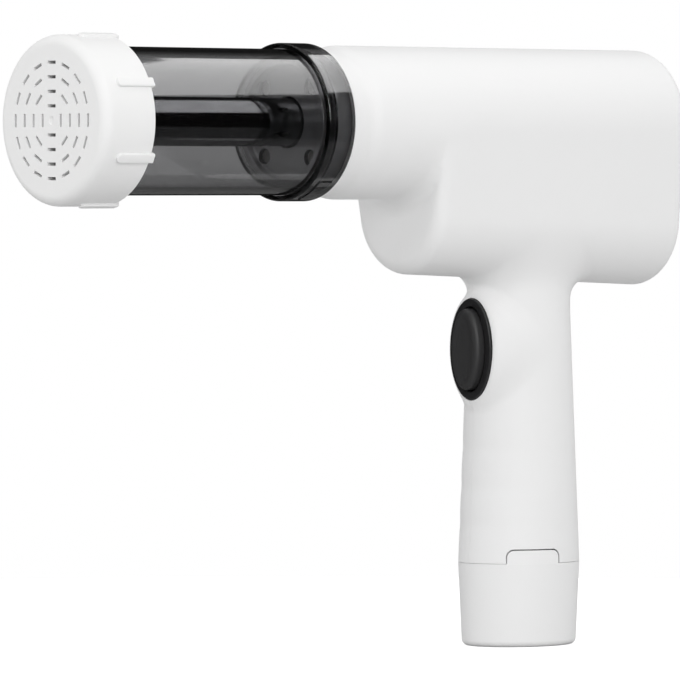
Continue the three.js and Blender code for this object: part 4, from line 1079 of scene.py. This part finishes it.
def dress(piece, body, slot, look=None):
    """Attaches the piece to its body and gives it the slot's material, or the look's where one is
    named.
    """
    piece.data.materials.clear()
    piece.data.materials.append(materials[look or slot])
    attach(piece, body)


def dress_nodes():
    """The solids that stay take their slot's material, and the plate's screws a near-white zinc,
    partly a painted highlight.
    """
    for part in frame["record"]["subparts"]:
        bright = part["node"].startswith("plate_screw")
        look = "zinc_and_painted_highlight" if bright else part["material_slot"]
        for slot in frame["nodes"][part["node"]].material_slots:
            slot.material = materials[look]


# Stage, lights and camera

def pale_stage():
    """A round pale floor, white to the camera and darker in mirror images."""
    middle = (cad_box[0][0] + cad_box[1][0]) / 2 / MM
    angles = np.arange(SEGMENTS) * 2 * math.pi / SEGMENTS
    edge = [(middle + FLOOR_RADIUS * math.cos(a), FLOOR_RADIUS * math.sin(a), 0) for a in angles]
    floor = mesh_object("floor", edge, [range(SEGMENTS)])
    material = bpy.data.materials.new("floor")
    material.use_nodes = True
    tree = material.node_tree
    shader = tree.nodes["Principled BSDF"]
    shader.inputs["Roughness"].default_value = FLOOR_ROUGHNESS
    shader.inputs["Specular IOR Level"].default_value = 0.0
    shader.inputs["Emission Color"].default_value = WHITE
    path = tree.nodes.new("ShaderNodeLightPath").outputs
    tone = mix(tree, "RGBA", path["Is Glossy Ray"], FLOOR_COLOR, FLOOR_MIRRORED_COLOR)
    feed(tree, shader.inputs["Base Color"], tone)
    glow = calculate(tree, "MULTIPLY", path["Is Camera Ray"], FLOOR_GLOW)
    feed(tree, shader.inputs["Emission Strength"], glow)
    floor.data.materials.append(material)


def ceiling_tone(tree, direction):
    """What glossy surfaces show of the room: dark, but for a soft ceiling."""
    split = tree.nodes.new("ShaderNodeSeparateXYZ")
    tree.links.new(direction, split.inputs["Vector"])
    return map_range(tree, split.outputs["Z"], CEILING_HEIGHTS, CEILING_TONES, "SMOOTHSTEP")


def room_tone(tree, direction):
    """What lights matt surfaces: brighter from behind the maker than from the camera's side."""
    facing = tree.nodes.new("ShaderNodeVectorMath")
    facing.operation = "DOT_PRODUCT"
    facing.inputs[1].default_value = BRIGHT_SIDE
    tree.links.new(direction, facing.inputs[0])
    return map_range(tree, facing.outputs["Value"], (-1, 1), ROOM_TONES)


def sky():
    """The room round the stage, plain white where the camera sees it, through the tube too."""
    world = bpy.data.worlds.new("sky")
    bpy.context.scene.world = world
    world.use_nodes = True
    tree = world.node_tree
    background = tree.nodes["Background"]
    background.inputs["Color"].default_value = WHITE
    direction = tree.nodes.new("ShaderNodeTexCoord").outputs["Generated"]
    path = tree.nodes.new("ShaderNodeLightPath").outputs
    glossed = calculate(tree, "GREATER_THAN", path["Glossy Depth"], 0.5)
    mirrored = calculate(tree, "SUBTRACT", glossed, path["Is Diffuse Ray"], clamp=True)
    through = calculate(tree, "SUBTRACT", path["Is Transmission Ray"], glossed, clamp=True)
    seen = calculate(tree, "MAXIMUM", path["Is Camera Ray"], through)
    room = room_tone(tree, direction)
    unseen = mix(tree, "FLOAT", mirrored, room, ceiling_tone(tree, direction))
    feed(tree, background.inputs["Strength"], mix(tree, "FLOAT", seen, unseen, 1.0))


def lights():
    for name, place, size, power, on_matt, on_gloss in LAMPS:
        light = bpy.data.lights.new(name, "AREA")
        light.shape = "RECTANGLE"
        light.size, light.size_y = size
        light.energy = power
        lamp = bpy.data.objects.new(name, light)
        lamp.location = Vector(place)
        aim = Vector(LAMP_TARGET) - Vector(place)
        lamp.rotation_euler = aim.to_track_quat("-Z", "Y").to_euler()
        lamp.visible_diffuse = on_matt
        lamp.visible_glossy = on_gloss
        bpy.context.scene.collection.objects.link(lamp)


def camera():
    """At the photograph's angle, on its horizon, far away behind a long lens."""
    middle = PHOTO_SIZE // 2
    ahead = Vector((math.sin(CAMERA_TURN), math.cos(CAMERA_TURN), 0))
    right = Vector((math.cos(CAMERA_TURN), -math.sin(CAMERA_TURN), 0))
    spot = -ahead * FOCAL_PIXELS * PIXEL - right * (ORIGIN_COLUMN - middle) * PIXEL
    spot.z = BARREL_HEIGHT - (HORIZON_ROW - BARREL_ROW) * PIXEL
    data = bpy.data.cameras.new("camera")
    data.sensor_width = SENSOR_WIDTH
    data.lens = SENSOR_WIDTH * FOCAL_PIXELS / PHOTO_SIZE
    data.clip_start, data.clip_end = NEAR_AND_FAR
    made = bpy.data.objects.new("camera", data)
    made.location = spot * MM
    tilt = math.atan((middle - HORIZON_ROW) / FOCAL_PIXELS)
    aim = ahead * math.cos(tilt) - Vector((0, 0, math.sin(tilt)))
    made.rotation_euler = aim.to_track_quat("-Z", "Y").to_euler()
    bpy.context.scene.collection.objects.link(made)
    bpy.context.scene.camera = made


materials = {name: node_material(name, **finish) for name, finish in FINISHES.items()}
darken_by_depth(materials["smoky_plastic"])
dress_nodes()
housing_shells()
battery_shell()
barrel_tube()
lock_ring()
die_cap()
front_plate()
push_rod()
bezel()
rocker()
pale_stage()
sky()
lights()
camera()
bpy.context.scene.view_settings.view_transform = "Standard"
